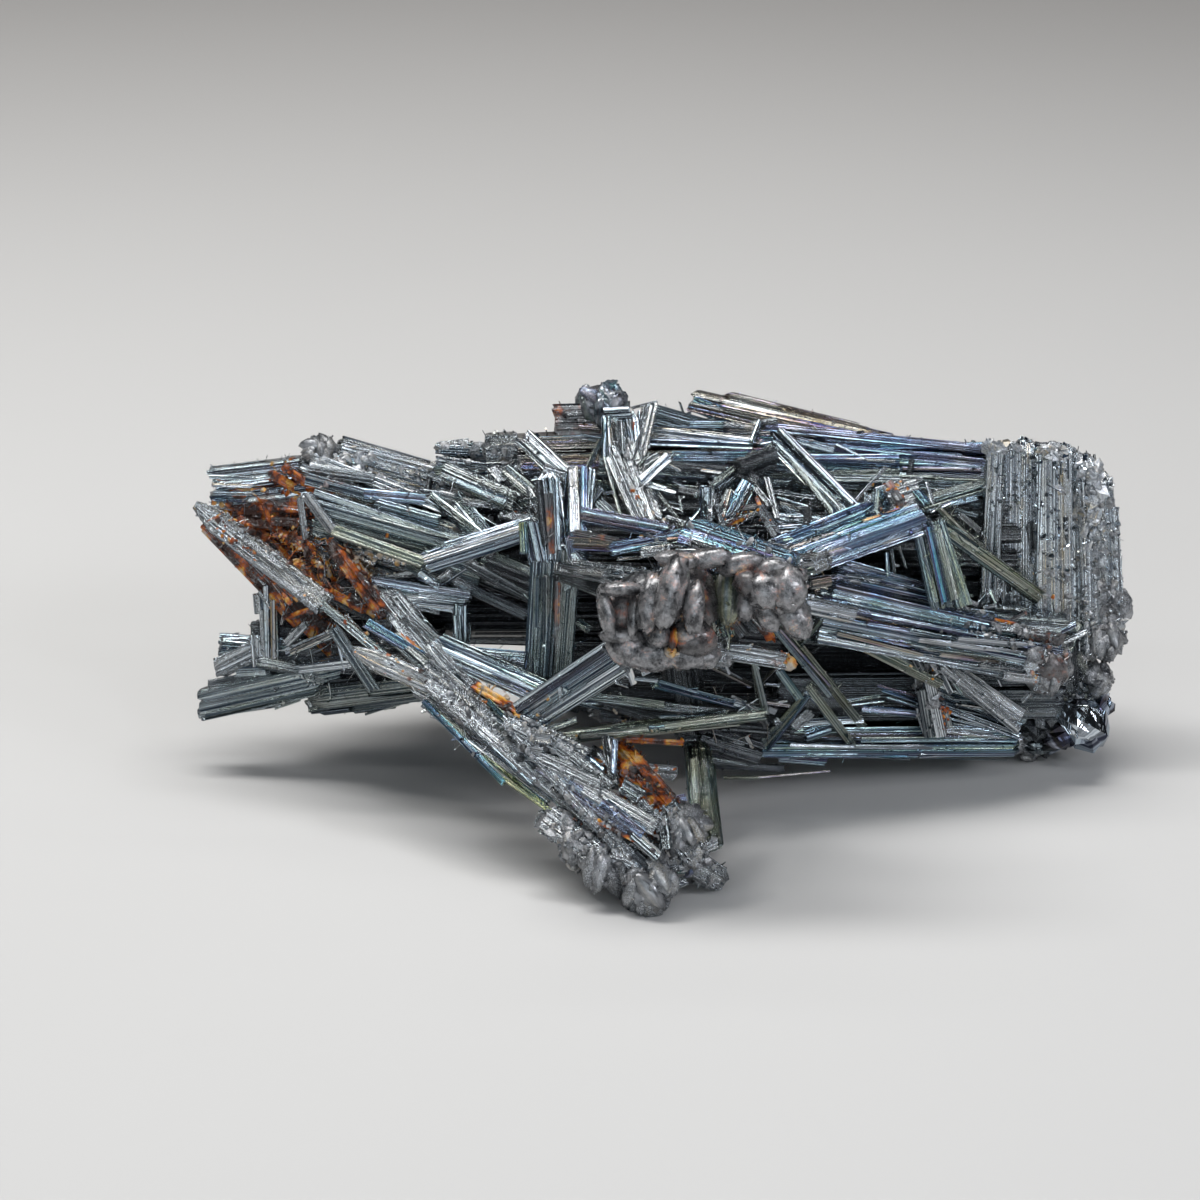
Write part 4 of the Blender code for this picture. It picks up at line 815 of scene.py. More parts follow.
BITS["front_bundles"] = """
19 37.6 -8 23.7 36.7 -6 1.8 pale
19.5 38.3 -7.6 23.5 37.8 -6 0.6 sky
19.5 40.2 -4.4 24.6 41.5 -3 1.3 gold
19.7 39.1 -5 22.9 39.9 -4 0.8 gold
23.7 41.2 -4 33.7 39.6 0 0.6 bright
24 40.6 -4.4 33.9 39 -0.4 0.5 pale
24.6 41.5 -3.6 30.5 40.7 -1.4 0.4 sky
25.4 40.2 -4.6 34.2 38.3 -1 0.5 iris
20.3 39.2 -5.6 29.4 37.8 -2 0.8 bright
22.7 39.4 -4.8 35.3 37.5 0.6 0.5 dull
29.4 38.4 -3 42 35.9 2.6 0.8 dark
31 38 -2 42 36.5 3 0.5 bright
33.7 37.4 -1 42.3 36.1 3 0.4 iris
23.7 37.4 -5.6 33.1 35.3 -2.6 0.6 bright
35.3 36.7 -1 42 34.8 2.6 0.8 dark
23.7 36.4 -6 31.5 34.5 -3.4 0.6 pale
20.8 35.5 -6.6 29.4 33.9 -4.2 0.6 iris
21.1 34.8 -7.2 31.5 32.4 -4.4 0.6 lilac
22.4 34 -7.4 33.1 31.3 -4.4 0.5 gold
26.2 35.1 -6 38 33.2 -1.6 0.6 iris
29.4 35.9 -4.4 41.7 33.7 0.6 0.6 bright
31.5 34.3 -4.6 43.3 32.1 0.4 0.6 bright
32.6 33.2 -4.8 46.8 31.3 1.4 0.7 pale
33.7 32.1 -4.8 46 30.5 1.2 0.6 green
35.3 31.3 -4.6 44.7 30 0.6 0.6 gold
37.4 33.2 -3.4 46.8 32.4 1.4 0.8 pale
41.7 34.8 0.6 48.2 34 2.6 1.1 dull
42 35.3 1.6 44.7 34.8 2.4 1.1 rust
44.7 34 2 49.8 33.2 4 1.3 dull
40.1 30 -3 46 29.2 0.6 0.8 dull
43.3 28.6 -2 47.4 28.1 1 1.3 dull
45.8 29.2 0 48.7 31.3 1.6 1.6 dull
47.9 26.5 1.4 50.3 31.9 3 2.4 dull
46.8 27.6 0.4 49 32.4 2 0.4 rust
45.5 25.4 2 46.6 26.5 2 0.6 dull
24.6 33.2 -6.2 33.1 28.9 -2.6 0.8 green
26.7 32.4 -5.4 32.6 29.7 -2.8 0.4 dark
31.5 32.1 -4 33.1 29.2 -3 1.1 shade
33.1 32.4 -3.4 35.3 29.2 -2.4 1.3 dull
33.7 31.3 -3 44.7 23.3 3 1.8 dull
35.3 29.7 -3.4 45 21.7 2.6 1.1 dull
36.4 28.9 -2 38 26.5 -1.4 0.8 sky
36.9 28.1 -1 43.3 23.3 2 1.3 shade
33.7 28.6 -2.6 35.3 21.1 -1.6 1.6 dull
32.9 27 -2.4 33.9 21.1 -1.4 1.3 dark
35.3 28.9 -2 36.6 26.5 -1.6 0.8 dull
35.8 24.3 -1 36.4 22.2 -0.6 0.9 dark
27.5 27.4 -3 32.6 25.9 -1 0.4 iris
28 26.8 -3 32.6 25.3 -1 0.4 sky
28.6 25.9 -3 32.9 24.6 -0.8 0.4 iris
23.2 25.4 -4 27.8 26.1 -3 0.4 bright
24.3 25 -3.6 28.3 25.5 -2.6 0.3 sky
25.4 24.6 -3 33.7 23.8 0 1.1 iris
16.5 22.7 -4.4 25.6 23.3 -2.6 1.1 bright
16.5 21.7 -4.6 33.1 21.9 0 0.7 sky
19.2 21.1 -4.4 38 21.2 1.4 0.6 lilac
25.4 20.6 -3.4 43.3 20.8 3.4 0.7 sky
24.6 19.8 -3.2 42.8 19.8 3.4 0.7 pale
32.6 18.6 -0.6 42.8 19.1 3.4 0.6 bright
16.5 20 -4.8 24.6 19.8 -3 0.6 pale
33.1 22.7 0 45 21.7 3.8 0.9 bright
34.8 21.9 0 45.5 20.8 4 0.7 pale
36.4 23.3 0.6 44.4 21.4 3.8 0.4 bright
36.9 22.7 1 43.3 21.9 3.8 0.4 dark
36.9 25.7 1 40.7 25.4 2.6 0.3 bright
37.2 25.1 1 40.7 24.6 2.6 0.3 pale
37.2 24.6 1 42.3 23.3 3 0.3 bright
42.8 24.9 3.6 45 23.3 4.4 1.3 dull
42.5 28.1 0 42.9 27.3 0 0.2 pale
51.4 30.8 8 55.4 27.3 9.6 1.1 dull
52.2 31.3 8 54.1 28.1 9 1.1 green
51.1 28.1 8 54.6 26.5 9 1.3 dark
46 25.9 6 54.6 25.9 8 1.6 shade
45.8 24.6 6 49.5 21.7 7.6 2.1 shade
39.9 37.5 3.6 41.5 39.4 5 0.5 bright
40.7 37.2 3.4 42.3 37.4 4 0.5 dull
41.5 39.1 5 42.5 38 5.4 0.4 pale
48.7 35.6 6 52.2 34 8 0.8 dark
49.5 33.7 5.6 52.2 35.1 7.4 0.7 bright
50.3 32.7 6 53.8 34.3 8 0.8 dull
51.4 31.6 7 52.7 35.1 8.6 0.7 green
16.5 18.7 -3 21.1 18.3 -1.4 1.3 iris
21.9 18.8 -2 31.5 18.3 1 0.7 dark
"""
BITS["front_knob"] = """
5.6 42.4 -21 10 41.3 -22.6 0.8 iris
2.2 44.1 -20 5.8 44 -20.6 0.9 pale
2.7 43.3 -20.4 4.8 43.1 -21 0.5 bright
4.3 45 -18.6 6.9 44.2 -20 1.3 shade
-2 44 -16 1.7 44.5 -18 1.3 dull
-5.1 43.2 -14 -2 43.5 -16 0.5 pale
-5.6 45 -12 5.6 46.3 -15.6 0.9 sky
-5.3 44.5 -12.6 1.2 45.3 -14.6 0.6 pale
1.2 45.8 -14.4 5.8 46.6 -15.4 0.8 gold
1.4 46.3 -14 5.6 46.7 -15 0.3 green
5.6 46.6 -15.6 13.6 44 -21 1.6 dull
6.9 45.3 -17.4 13.1 41.9 -22.6 1.8 dull
7.4 44.8 -19 10 41.9 -22.4 1 lilac
10 45.3 -17 16.2 44.2 -21.6 1.3 dull
11 43.7 -20 15.2 41.4 -23 1.3 bright
13.6 44.8 -19.6 17.8 42.2 -22 1.6 dull
17.2 42.9 -19 21.4 43.5 -13 1.6 dull
18.3 41.6 -18.6 21.4 42.4 -14 1 green
18.8 40.1 -18 21.4 40.6 -15 1.3 gold
6.9 41.1 -19.6 8.9 33.3 -23.4 1.6 green
8.2 40.9 -19 8.4 33.6 -22.6 0.7 sky
6.1 41.1 -21 6.3 37.2 -23 0.7 rust
5.8 37.7 -23.4 5.8 33.6 -24.4 0.8 rust
6.3 37 -23.6 6.9 34.1 -24 0.9 green
4 43.7 -22 4.8 39.6 -24.4 1 rust
5.8 43.5 -21 6.3 41.4 -22.4 0.8 lilac
8.4 36.7 -20 10.8 33.6 -21 1.6 maroon
10 37.2 -21 12.6 34.6 -22 1.6 shade
11.8 36.7 -23.4 14.1 33.3 -21.6 1.1 rust
11 37 -24 12.8 35.1 -23 0.9 dull
13.1 36.4 -24 14.4 35.1 -22.6 0.5 pale
8.2 32.3 -23 15.2 31.1 -22 1.3 dull
8.4 32.5 -23.4 11.8 32.3 -22.8 0.4 bright
12.6 31.5 -22.6 16.2 31.3 -21.6 0.5 pale
2.5 33.6 -25.4 7.9 32.5 -24.4 1.3 dull
0.1 31 -26 6.9 30.2 -24.6 1.3 dull
-6.9 32.5 -25.6 -3.5 29.4 -25 1 dull
-3.8 30 -24.6 -3 27.6 -24.4 0.8 pale
-3 28.4 -24.4 -0.1 28.1 -24 0.6 bright
-5.3 27.9 -24.4 -3.8 27.4 -24 0.6 pale
-2 28.9 -24.6 0.1 30 -24.8 0.8 bright
-9.8 41.9 -12 -6.4 41.4 -17 1.3 dull
-6.9 40.6 -18 -4.6 39.6 -22 1 dull
-5.1 39.8 -22 -0.4 40.1 -24.6 0.6 rust
-0.4 40.9 -24 0.6 41.9 -23.6 0.8 dull
"""
BITS["crossing_rods"] = """
-0.1 27.6 -15 9.5 25 -10 0.9 iris
0.1 28 -15.6 4.8 26.6 -13 0.4 sky
6.9 29.8 -17 11.7 27.5 -12 0.8 gold
7.1 30.2 -17.4 10.5 28.4 -14 0.3 sky
6.3 30.2 -18 8.4 30 -17 0.8 bright
8.2 30.5 -18 8.9 28.9 -16.6 0.4 pale
-4.6 21.4 -16.6 12.8 23.6 -9.4 0.9 green
-1.2 22.2 -15.6 12.3 23.1 -9 0.5 sky
-9.8 21 -19.4 -4.3 21.4 -16.6 1.1 green
-4 20.6 -16 3.1 20.2 -13.6 0.7 rust
0.1 23.5 -14 13.1 23.9 -8.4 0.5 dark
11.8 31.3 -20 13.6 23.9 -9 0.7 sky
12.3 24.8 -9 13.6 22.4 -7.6 1.1 shade
13.4 19.4 -5 18.8 26.4 -8.6 1.1 sky
13.7 19.3 -5.2 19.1 26.1 -8.8 0.4 gold
15.2 29.3 -10.4 17.8 25.7 -8.8 1.1 sky
18.5 26.8 -9 21.5 23.9 -5.6 0.9 bright
14.5 34.6 -20 21.5 26.1 -8 0.7 sky
15.2 34.5 -19.6 21.5 27.4 -9 0.3 gold
17.5 32 -14 20.5 35.7 -20 0.5 green
13.1 27.9 -12 14.9 29.7 -14 0.4 gold
13.4 27.6 -11 15.2 27.4 -10.4 0.4 gold
9.5 25.3 -10.4 13.1 24.2 -9 0.8 bright
9.7 25.8 -11 12.8 24 -9.6 0.2 pale
10 24.2 -10.6 12.6 25.8 -10 0.2 pale
10.5 25.5 -11 11.8 24 -10 0.2 bright
9.2 26.1 -11 11 25.3 -10 0.4 dull
13.4 25.3 -9 16.5 24.9 -7.6 0.5 gold
13.6 25 -8.6 16.2 25.5 -8 0.3 pale
13.6 24.5 -9.4 14.7 24.1 -8.8 0.8 pale
14.4 22.7 -7 16.7 23.2 -6 1 dull
17 22.2 -5.6 19.1 24.2 -5 1.6 dull
18.3 21.1 -4.6 21.5 22.2 -3.6 1.3 sky
15.2 19.6 -4 21.5 19.6 -2.6 0.5 green
10.8 20.9 -6 12.7 19 -5 1.8 dull
11 21.1 -7 11.8 19.6 -6.4 0.5 pale
15.2 18.4 -3.4 20.9 17.9 -1.6 1.1 iris
15.4 18.7 -3.8 20.1 18.4 -2 0.3 bright
8.2 15.9 -5 12.6 15.9 -4 0.4 green
12.6 15.9 -3.6 21.5 16.7 -1.6 0.3 gold
4.3 18.3 -12 6.3 17 -11 0.8 gold
-7.2 25.3 -14 0.1 23.2 -12 1.6 shade
-9.8 26.1 -14.6 0.6 24.8 -13 1.3 dark
0.1 24.8 -12.4 8.4 24 -10 1 dark
3.2 20.6 -10 10.5 20.1 -6.6 2.1 shade
3.7 19 -9.4 11 18 -6 1.6 dark
6.9 17.5 -6 15.7 17 -3.4 1 shade
"""
BITS["front_leg"] = """
-29.3 25.5 -11.6 -19.2 15.1 -21.2 0.7 sky
-27.2 23.6 -11.8 -21.8 17.9 -18.2 0.6 bright
-24.1 21 -15.6 -15.8 14.8 -22.2 0.6 pale
-21.8 18.7 -17.6 -14.2 12.7 -23.2 0.6 sky
-20.7 19.5 -18.6 -15.8 15.1 -22.6 0.6 bright
-19.4 15.8 -20.2 -11.9 10.6 -25.2 0.6 sky
-27.8 24.2 -12.6 -24.1 21 -15.8 0.8 green
-30.4 27.3 -7.4 -25.2 24.4 -11.4 2.3 dull
-28.8 27.8 -7 -23.6 24.2 -12 1.6 sky
-25.2 24.7 -11.6 -18.9 21.6 -16.6 2.3 dull
-26.2 26.2 -9.6 -25.7 25.5 -10 0.4 pale
-23.6 23.1 -13 -13.7 14.8 -20.6 2.3 dull
-22.6 23.9 -12.6 -20 21.8 -15 1.3 green
-20.7 23.9 -15 -18.9 22.3 -16.6 1.6 dark
-18.9 22.2 -17.6 -14.8 21 -20.4 1.6 dull
-16.8 21.3 -19 -13.2 20.8 -21.6 1.6 pale
-18.9 21.3 -17.6 -15.8 19.7 -19.6 0.7 shade
-17.4 19.7 -19.6 -14.2 19.2 -21.4 1.1 pale
-15.8 19 -20.6 -6.9 14.8 -26 1.8 dull
-14.8 17.9 -21 -3.3 9.6 -29.4 2.1 lilac
-13.7 20.8 -20.6 -5.9 14.8 -25.6 1.6 dull
-13.7 20.5 -20 -6.9 16.1 -24.6 0.4 rust
-11.1 20.4 -19.6 -6.8 16.9 -23.6 0.7 bright
-13.2 14.8 -22.4 -7.5 10.1 -27.4 0.8 pale
-9 14.8 -25 -0.2 9.6 -30.2 2.1 dull
-6.9 12.7 -27 -1.7 8.8 -30.4 1.6 lilac
-7.5 10.4 -28 -2.8 8 -30.6 0.6 rust
-3.3 8.8 -30.2 -0 5.9 -31.4 1 bright
-2.5 9.1 -30.4 0.4 6.5 -31.6 0.4 pale
-4.7 14.5 -26 -2.6 13.2 -27.4 0.9 bright
-4.3 15.3 -25.4 -1.7 13.8 -27 1 dull
-2.2 12.7 -27 0.4 9.6 -29.6 1.6 dull
-6.8 21.3 -21 -6.3 17.9 -23 0.7 pale
-5.4 20.8 -20.6 -5.6 16.4 -23.4 0.8 bright
-7.5 19 -22 -6.2 17.4 -23 0.5 dull
-13.4 14.5 -21.6 -10.6 11.7 -23.6 1.3 shade
-13.7 13.8 -21.4 -12.1 12.2 -22.6 0.5 bright
-15 11.1 -23 -12.4 9.6 -24.4 2.3 dull
-14.8 9.6 -23.4 -12.4 8.2 -24.4 1 dark
-11.6 11.7 -23 -8 10.1 -25.4 1.6 rust
-10.8 11.1 -24 -8 11.1 -25.6 0.4 pale
-8 11.7 -26 -7.7 8 -26.6 0.5 pale
-12.1 9.1 -25 -8 8.5 -26.6 1.6 dull
-11.9 7.8 -25 -10.1 5.4 -25.6 1.6 dull
-10.3 7 -26 -7.7 5.2 -27 1.6 dull
-7.5 7 -27 -6.9 4.4 -28 1 rust
-6.9 8 -28 -4.3 7.5 -29 1 shade
-8 4.4 -27.4 -5.4 3.1 -28.6 1.6 dull
-5.9 6.5 -29.6 -2.8 5.9 -30.4 1.6 dull
-4.9 4.9 -29 -3.3 1.2 -30 1.6 dull
-3 6.5 -30.4 -0.7 4.4 -31 1.3 shade
-3.3 3.6 -30.6 -0.2 2.8 -30.6 1.6 dull
-2.5 1.8 -30 -1.2 -0.3 -30 1.6 dull
-0.9 1.2 -29.6 3.5 3.1 -27.6 1.3 dark
-0.7 4.4 -30.4 3 5.2 -28.6 1.6 dull
0.6 11.1 -27.4 1.1 7 -30 1.3 bright
1.9 11.1 -26.6 3.2 9.6 -27.4 1.6 pale
3.2 11.4 -26 6.1 9.8 -24.4 0.7 pale
3.7 10.6 -26.6 4.3 7.2 -28 1.3 dull
2.4 4.4 -28 6.1 4.4 -27 1 sky
4.5 3.6 -26.6 7.9 2.6 -25.6 1.8 dull
4.8 6.7 -26 7.4 7.8 -25 1.3 dull
4.5 6.7 -27 5 5.4 -27 0.6 pale
4.5 18.2 -15 5 7.8 -24.6 1 green
5.8 17.4 -14 6.1 9.6 -22 1.6 dull
4 18.2 -14 5.3 17.1 -14 0.3 gold
-2 16.9 -17.6 2.2 16.4 -15.6 1.6 dull
-1.7 16.4 -18 1.9 15.6 -16.6 0.4 pale
-3.8 19 -16 -2.2 17.9 -15 1.3 rust
-4.3 17.9 -17.6 -2.2 13.8 -21 1.6 rust
-1.7 14.5 -21 1.9 13.2 -20 1.6 dark
0.4 12.7 -22 3.5 13.5 -21 1 iris
-1.5 12.7 -23 1.4 12.2 -22.4 1.3 dull
-17.9 23.4 -15.6 -15 23.1 -17.6 0.9 rust
-23.9 26 -12.6 -19.4 24.4 -15 0.7 rust
-20.2 24.4 -14.6 -18.7 24.7 -15 0.9 rust
-14.8 22.6 -16 -11.6 24.9 -18 1.2 green
-13.7 21.8 -15.6 -10.1 23.1 -16 1 dark
-12.1 21 -17.6 -5.4 21.3 -17 0.9 dull
-8.5 19.5 -18 -5.4 17.9 -20 1.3 shade
"""
print(sum(len(rows.splitlines()) for rows in BITS.values()), "small crystals")

# %% [markdown]
# ## Coats
# The same mineral looks different from bar to bar. A fresh face is a bright mirror, a crusted one
# is dull, iron stains it brown, and a thin tarnish film colours it like oil on water. The third
# number, shade, is no coat but painted shade: it darkens bars that lie in hollows, under other bars
# or inside the mass, and the coats shade and dark carry the most of it. Each coat is five numbers,
# which the meshes carry as attributes so that one material can read them all.

# %% Coats, as dull, rust, painted shade, tarnish and film thickness
Coat = namedtuple("Coat", "name numbers")
# shade, the third number, is painted shade: it darkens bars in hollows, under others or inside
COATS = dict(table(Coat, (1, 5), """
bright 0.10 0 0 0.22 0.62
pale 0 0 0 0.90 0
silver 0.10 0 0 0.90 0.01
plate 0.24 0 0 0.85 0.02
frost 0.36 0 0 0.75 0.03
pearl 0.20 0.30 0 0 0.10
slate 0.60 0 0 0.85 0.03
onyx 0 0 0.35 0.30 0.46
dull 0.42 0 0.08 0.25 0.03
crust 0.75 0 0.05 0.15 0.03
dark 0.25 0 0.50 0.30 0.74
shade 0.45 0 0.85 0.10 0.60
rust 0.30 0.90 0 0 0.32
maroon 0.20 0.60 0.35 0 0.05
ochre 0.30 1 0 0 0.74
tan 0.30 0.80 0 0 1
gold 0.15 0 0.05 0.55 0.30
iris 0.10 0 0.05 0.55 0.56
sky 0.12 0 0 0.60 0.63
lilac 0.14 0 0 0.60 0.44
green 0.25 0 0.20 0.60 0.86
"""))
Patch = namedtuple("Patch", "across up back radius amount film")
RUST_PATCHES = table(Patch, (1,) * 6, """
-49 46 9 5.5 0.9 0
-44 41 8 4.5 0.7 0
-40 41 3 3.5 0.8 0
-41 52 10 2.5 0.5 0
-36 45 6 2.5 0.5 0
-47 36 8 3 0.5 0
-30 27 -6 2.5 0.6 0
-1 31 -24 2.6 0.5 0
9 37 -22 3 0.7 0
15 40 -22 2.6 0.6 0
-2 14 -20 3.5 0.6 0
9 46 3 2.2 0.5 0
36 25 -1 1.8 0.6 0
-16 21 -18 2.2 0.5 0
28 51 8 2.4 0.4 0
-6 9 -27 2.6 0.35 0
-3 4.6 -30 2.2 0.30 0
4 7 -28 1.8 0.30 0
1.6 33.4 -28 1.5 0.9 0
5.2 40.4 -26 1.6 0.9 0
9.6 38.4 -27 1.8 0.7 0
15.8 31 -23 1.8 0.7 0
12.6 41.4 -27 1.8 0.8 0
-1.6 34.8 -29 1.6 0.4 0
14.8 39.8 -28 1.2 0.6 0
""")
TARNISH_PATCHES = table(Patch, (1,) * 6, """
35 56 17 4 0.9 0.50
38 53 15 2.5 0.8 0.42
24 55 18 5 0.5 0.60
2 58 18 6 0.5 0.28
20 61 24 6 0.6 0.26
26 35 -3 4 0.8 0.52
32 34 -1 3 0.6 0.42
30 47 0 4 0.7 0.55
-30 46 4 5 0.5 0.80
""")
print(len(COATS), "coats,", len(RUST_PATCHES), "rust patches and", len(TARNISH_PATCHES), "tarnish patches")


def seed_of(name):
    """A fixed chain of random numbers for each name, so that every run gives the same spray."""
    return np.random.default_rng(zlib.crc32(name.encode()))


# %% [markdown]
# ## From the drawing to rods
# A sheaf is split into rods that lie side by side, each a little turned, a little longer or
# shorter than its neighbour, as real crystals of one sheaf are. Every rod is then a line with
# three square directions: along its length, across its width, and deep, out of its broad face.

# %% Rods
Rods = namedtuple("Rods", "base along wide deep length width thick tips coat")
TIP_KINDS = {"cut": 0, "dome": 1, "chisel": 2}
ROD_SWING, ROD_FAN, ROD_SET_BACK, ROD_STAGGER = 14, 0.010, (-0.08, 0.04), (-0.55, 0.45)
ROD_OVERLAP, ROD_THINNESS = (1.08, 1.36), (0.74, 0.96)


def unit(vectors):
    """Every vector divided by its own length."""
    return vectors / np.linalg.norm(vectors, axis=-1, keepdims=True)


def side_directions(along, turn):
    """The width faces the viewer, square to the length, and is then turned about the length."""
    wide = np.cross(along, SIGHT)
    end_on = np.linalg.norm(wide, axis=-1, keepdims=True) < 0.2
    wide = unit(np.where(end_on, np.cross(UPWARD, along), wide))
    deep = np.cross(along, wide)
    angle = np.radians(turn)[..., None]
    return np.cos(angle) * wide + np.sin(angle) * deep, np.cos(angle) * deep - np.sin(angle) * wide


def rods_of(rows, spot):
    """Each crystal's rods: they share its width, and each has its own ends, turn and thickness."""
    found = []
    for row in rows:
        chance = seed_of(row.name)
        start, end = spot(*row.start), spot(*row.end)
        along = unit(end - start)
        length = np.linalg.norm(end - start)
        wide, deep = side_directions(along, row.turn)
        share = row.width / row.rods
        tips = [TIP_KINDS[kind] for kind in row.tips]
        for i in range(row.rods):
            across = (i + 0.5) * share - row.width / 2
            alone = row.rods == 1
            swing = 0.0 if alone else math.radians(chance.uniform(-ROD_SWING, ROD_SWING))
            back = 0.0 if alone else chance.uniform(*ROD_SET_BACK) * row.thick
            early, late = (0.0, 0.0) if alone else chance.uniform(*ROD_STAGGER, 2) * share
            fan = 0.0 if alone else chance.uniform(-ROD_FAN, ROD_FAN)
            heading = unit(along + fan * wide)
            side = unit(math.cos(swing) * wide + math.sin(swing) * deep - fan * along)
            width = row.width if alone else share * chance.uniform(*ROD_OVERLAP)
            thick = row.thick if alone else row.thick * chance.uniform(*ROD_THINNESS)
            base = start + wide * across + deep * back - heading * early
            coat = np.array(COATS[row.coat])
            coat = coat + chance.normal(0, 1, 5) * (0.05, 0.02, 0.05, 0.06, 0.035)
            found.append((base, heading, side, np.cross(heading, side), length + early + late,
                          width, thick, tips, np.clip(coat, 0, 1)))
    columns = [np.array(column, dtype=float) for column in zip(*found)]
    return Rods(*columns)


BIT_FLATNESS, BIT_LEAN, BIT_THICK = (0.35, 0.95), (-30, 30), (0.15, 1.1)


def bits_of(name):
    """A region's small crystals as rods, each about as deep as it is wide and a little turned."""
    chance = seed_of(name + " bits")
    rows = [line.split() for line in BITS[name].strip().splitlines()]
    numbers = np.array([row[:7] for row in rows], dtype=float)
    count = len(rows)
    start, end = place(*numbers[:, 0:3].T), place(*numbers[:, 3:6].T)
    along = unit(end - start)
    wide, deep = side_directions(along, chance.uniform(*BIT_LEAN, count))
    width = numbers[:, 6]
    thick = np.clip(width * chance.uniform(*BIT_FLATNESS, count), *BIT_THICK)
    coats = np.array([COATS[row[7]] for row in rows])
    coats = coats + chance.normal(0, 1, (count, 5)) * (0.08, 0.03, 0.06, 0.10, 0.05)
    return Rods(start, along, wide, deep, np.linalg.norm(end - start, axis=1), width, thick,
                np.zeros((count, 2)), np.clip(coats, 0, 1))


def plain_spot(x, y, z):
    """A plain place in millimetres."""
    return np.array([x, y, z], dtype=float) - OUTLINE_MIDDLE


RODS = {name: rods_of(rows, place) for name, rows in DRAWING.items()}
RODS.update({name: rods_of(rows, plain_spot) for name, rows in FAR_SIDE.items()})
SMALL = {name: bits_of(name) for name in BITS}
print({name: len(rods.length) for name, rods in RODS.items()}, "and", len(SMALL), "groups of small ones")

# %% [markdown]
# ## Meshes from whole arrays
# Blender could extrude and cut each bar, but a thousand bars would take long and look alike.
# Here every bar is a grid with one index along its length and one around its outline, so numpy
# works out all bars of a piece at once and hands the finished arrays to a mesh.

# %% Growths: arrays that become a mesh
Growth = namedtuple("Growth", "spots faces uvs coats films")
UV_SPREAD, END_UV_SPREAD = 500, 300


def merged(growths):
    """One growth from several: corners are renumbered as they are stacked."""
    shift, faces = 0, {3: [], 4: []}
    uvs = {3: [], 4: []}
    for growth in growths:
        for corners in (3, 4):
            faces[corners].append(growth.faces[corners] + shift)
            uvs[corners].append(growth.uvs[corners])
        shift += len(growth.spots)
    stack = {c: np.concatenate(faces[c]) for c in (3, 4)}
    stack_uv = {c: np.concatenate(uvs[c]) for c in (3, 4)}
    return Growth(np.concatenate([g.spots for g in growths]), stack, stack_uv,
                  np.concatenate([g.coats for g in growths]), np.concatenate([g.films for g in growths]))


def ring_grid(count, rings, sides):
    """Four-cornered faces between neighbouring rings, for count grids of rings x sides corners."""
    n, i, j = np.meshgrid(np.arange(count), np.arange(rings - 1), np.arange(sides), indexing="ij")
    here = n * rings * sides + i * sides
    after = (j + 1) % sides
    quads = np.stack([here + j, here + after, here + sides + after, here + sides + j], axis=-1)
    return quads.reshape(-1, 4)


def ring_uvs(along_mm, around_mm):
    """UV of each corner: millimetres along the bar, and around it up to the full way round."""
    left, right = around_mm[..., :-1], around_mm[..., 1:]
    near, far = along_mm[:, :-1], along_mm[:, 1:]
    near_next, far_next = np.roll(near, -1, axis=2), np.roll(far, -1, axis=2)
    left = np.broadcast_to(left[:, None], near.shape)
    right = np.broadcast_to(right[:, None], near.shape)
    corners = [np.stack(pair, axis=-1) for pair in
               ((near, left), (near_next, right), (far_next, right), (far, left))]
    return np.stack(corners, axis=3).reshape(-1, 4, 2)


# %% [markdown]
# ## One bar: striations, broken laths, jagged ends
# A stibnite prism has eight rough sides, and each is scored from end to end. The outline below
# takes its columns at uneven steps and pushes each in or out by a few hundredths of a
# millimetre. Neighbouring columns form a lath, and a lath that broke off leaves a step.

# %% Bars
WIDE_BARS, SLIM_BARS, SMALL_BARS = (8, 5, 14, 5) * 2, (4, 3, 7, 3) * 2, (2, 1, 4, 1) * 2
WIDE_FROM, BAR_SEGMENTS = 2.4, 2
STEP_LENGTH, DEEPEST_GROOVE, DEEPEST_STEP = 0.07, 0.026, 0.55
LATH_START, LATH_BREAKS = 0.42, 0.30


def outlines(rods, columns, chance):
    """Eight-cornered outlines with uneven columns: a corner, plus its share of the way to the next."""
    count = len(rods.length)
    half_w, half_t = rods.width / 2, rods.thick / 2
    bevel = chance.uniform(0.07, 0.24, (count, 4))
    lean = chance.uniform(-0.16, 0.16, count) * half_w / np.maximum(half_t, 0.1)
    corners = np.empty((count, 8, 2))
    signs = ((1, -1), (1, 1), (1, 1), (-1, 1), (-1, 1), (-1, -1), (-1, -1), (1, -1))
    for k, (sx, sy) in enumerate(signs):
        cut = bevel[:, (k + 1) // 2 % 4]
        on_side = k in (0, 1, 4, 5)
        x = half_w if on_side else half_w * (1 - 1.5 * cut)
        y = half_t * (1 - 2.1 * cut) if on_side else half_t
        corners[:, k, 0] = sx * x
        corners[:, k, 1] = sy * y
    corners[..., 0] += lean[:, None] * corners[..., 1] * 0.5
    corners *= 1 + chance.uniform(-0.04, 0.04, corners.shape)
    steps = np.concatenate([k + np.arange(n) / n for k, n in enumerate(columns)])
    widths = np.repeat([1.0 / n for n in columns], columns)
    inner = (steps % 1) > 0
    steps = steps + chance.uniform(-0.38, 0.38, (count, len(steps))) * widths * inner
    whole = np.floor(steps).astype(int)
    part = (steps - whole)[..., None]
    rows = np.arange(count)[:, None]
    return (1 - part) * corners[rows, whole % 8] + part * corners[rows, (whole + 1) % 8]


def lath_leaders(count, sides, chance, often):
    """For each column, the number of the first column of its lath."""
    starts = chance.random((count, sides)) < often
    starts[:, 0] = True
    return np.maximum.accumulate(np.where(starts, np.arange(sides), 0), axis=1)


def per_lath(values, leaders):
    """The value drawn for a lath's first column, given to all its columns."""
    return np.take_along_axis(values, leaders, axis=-1)


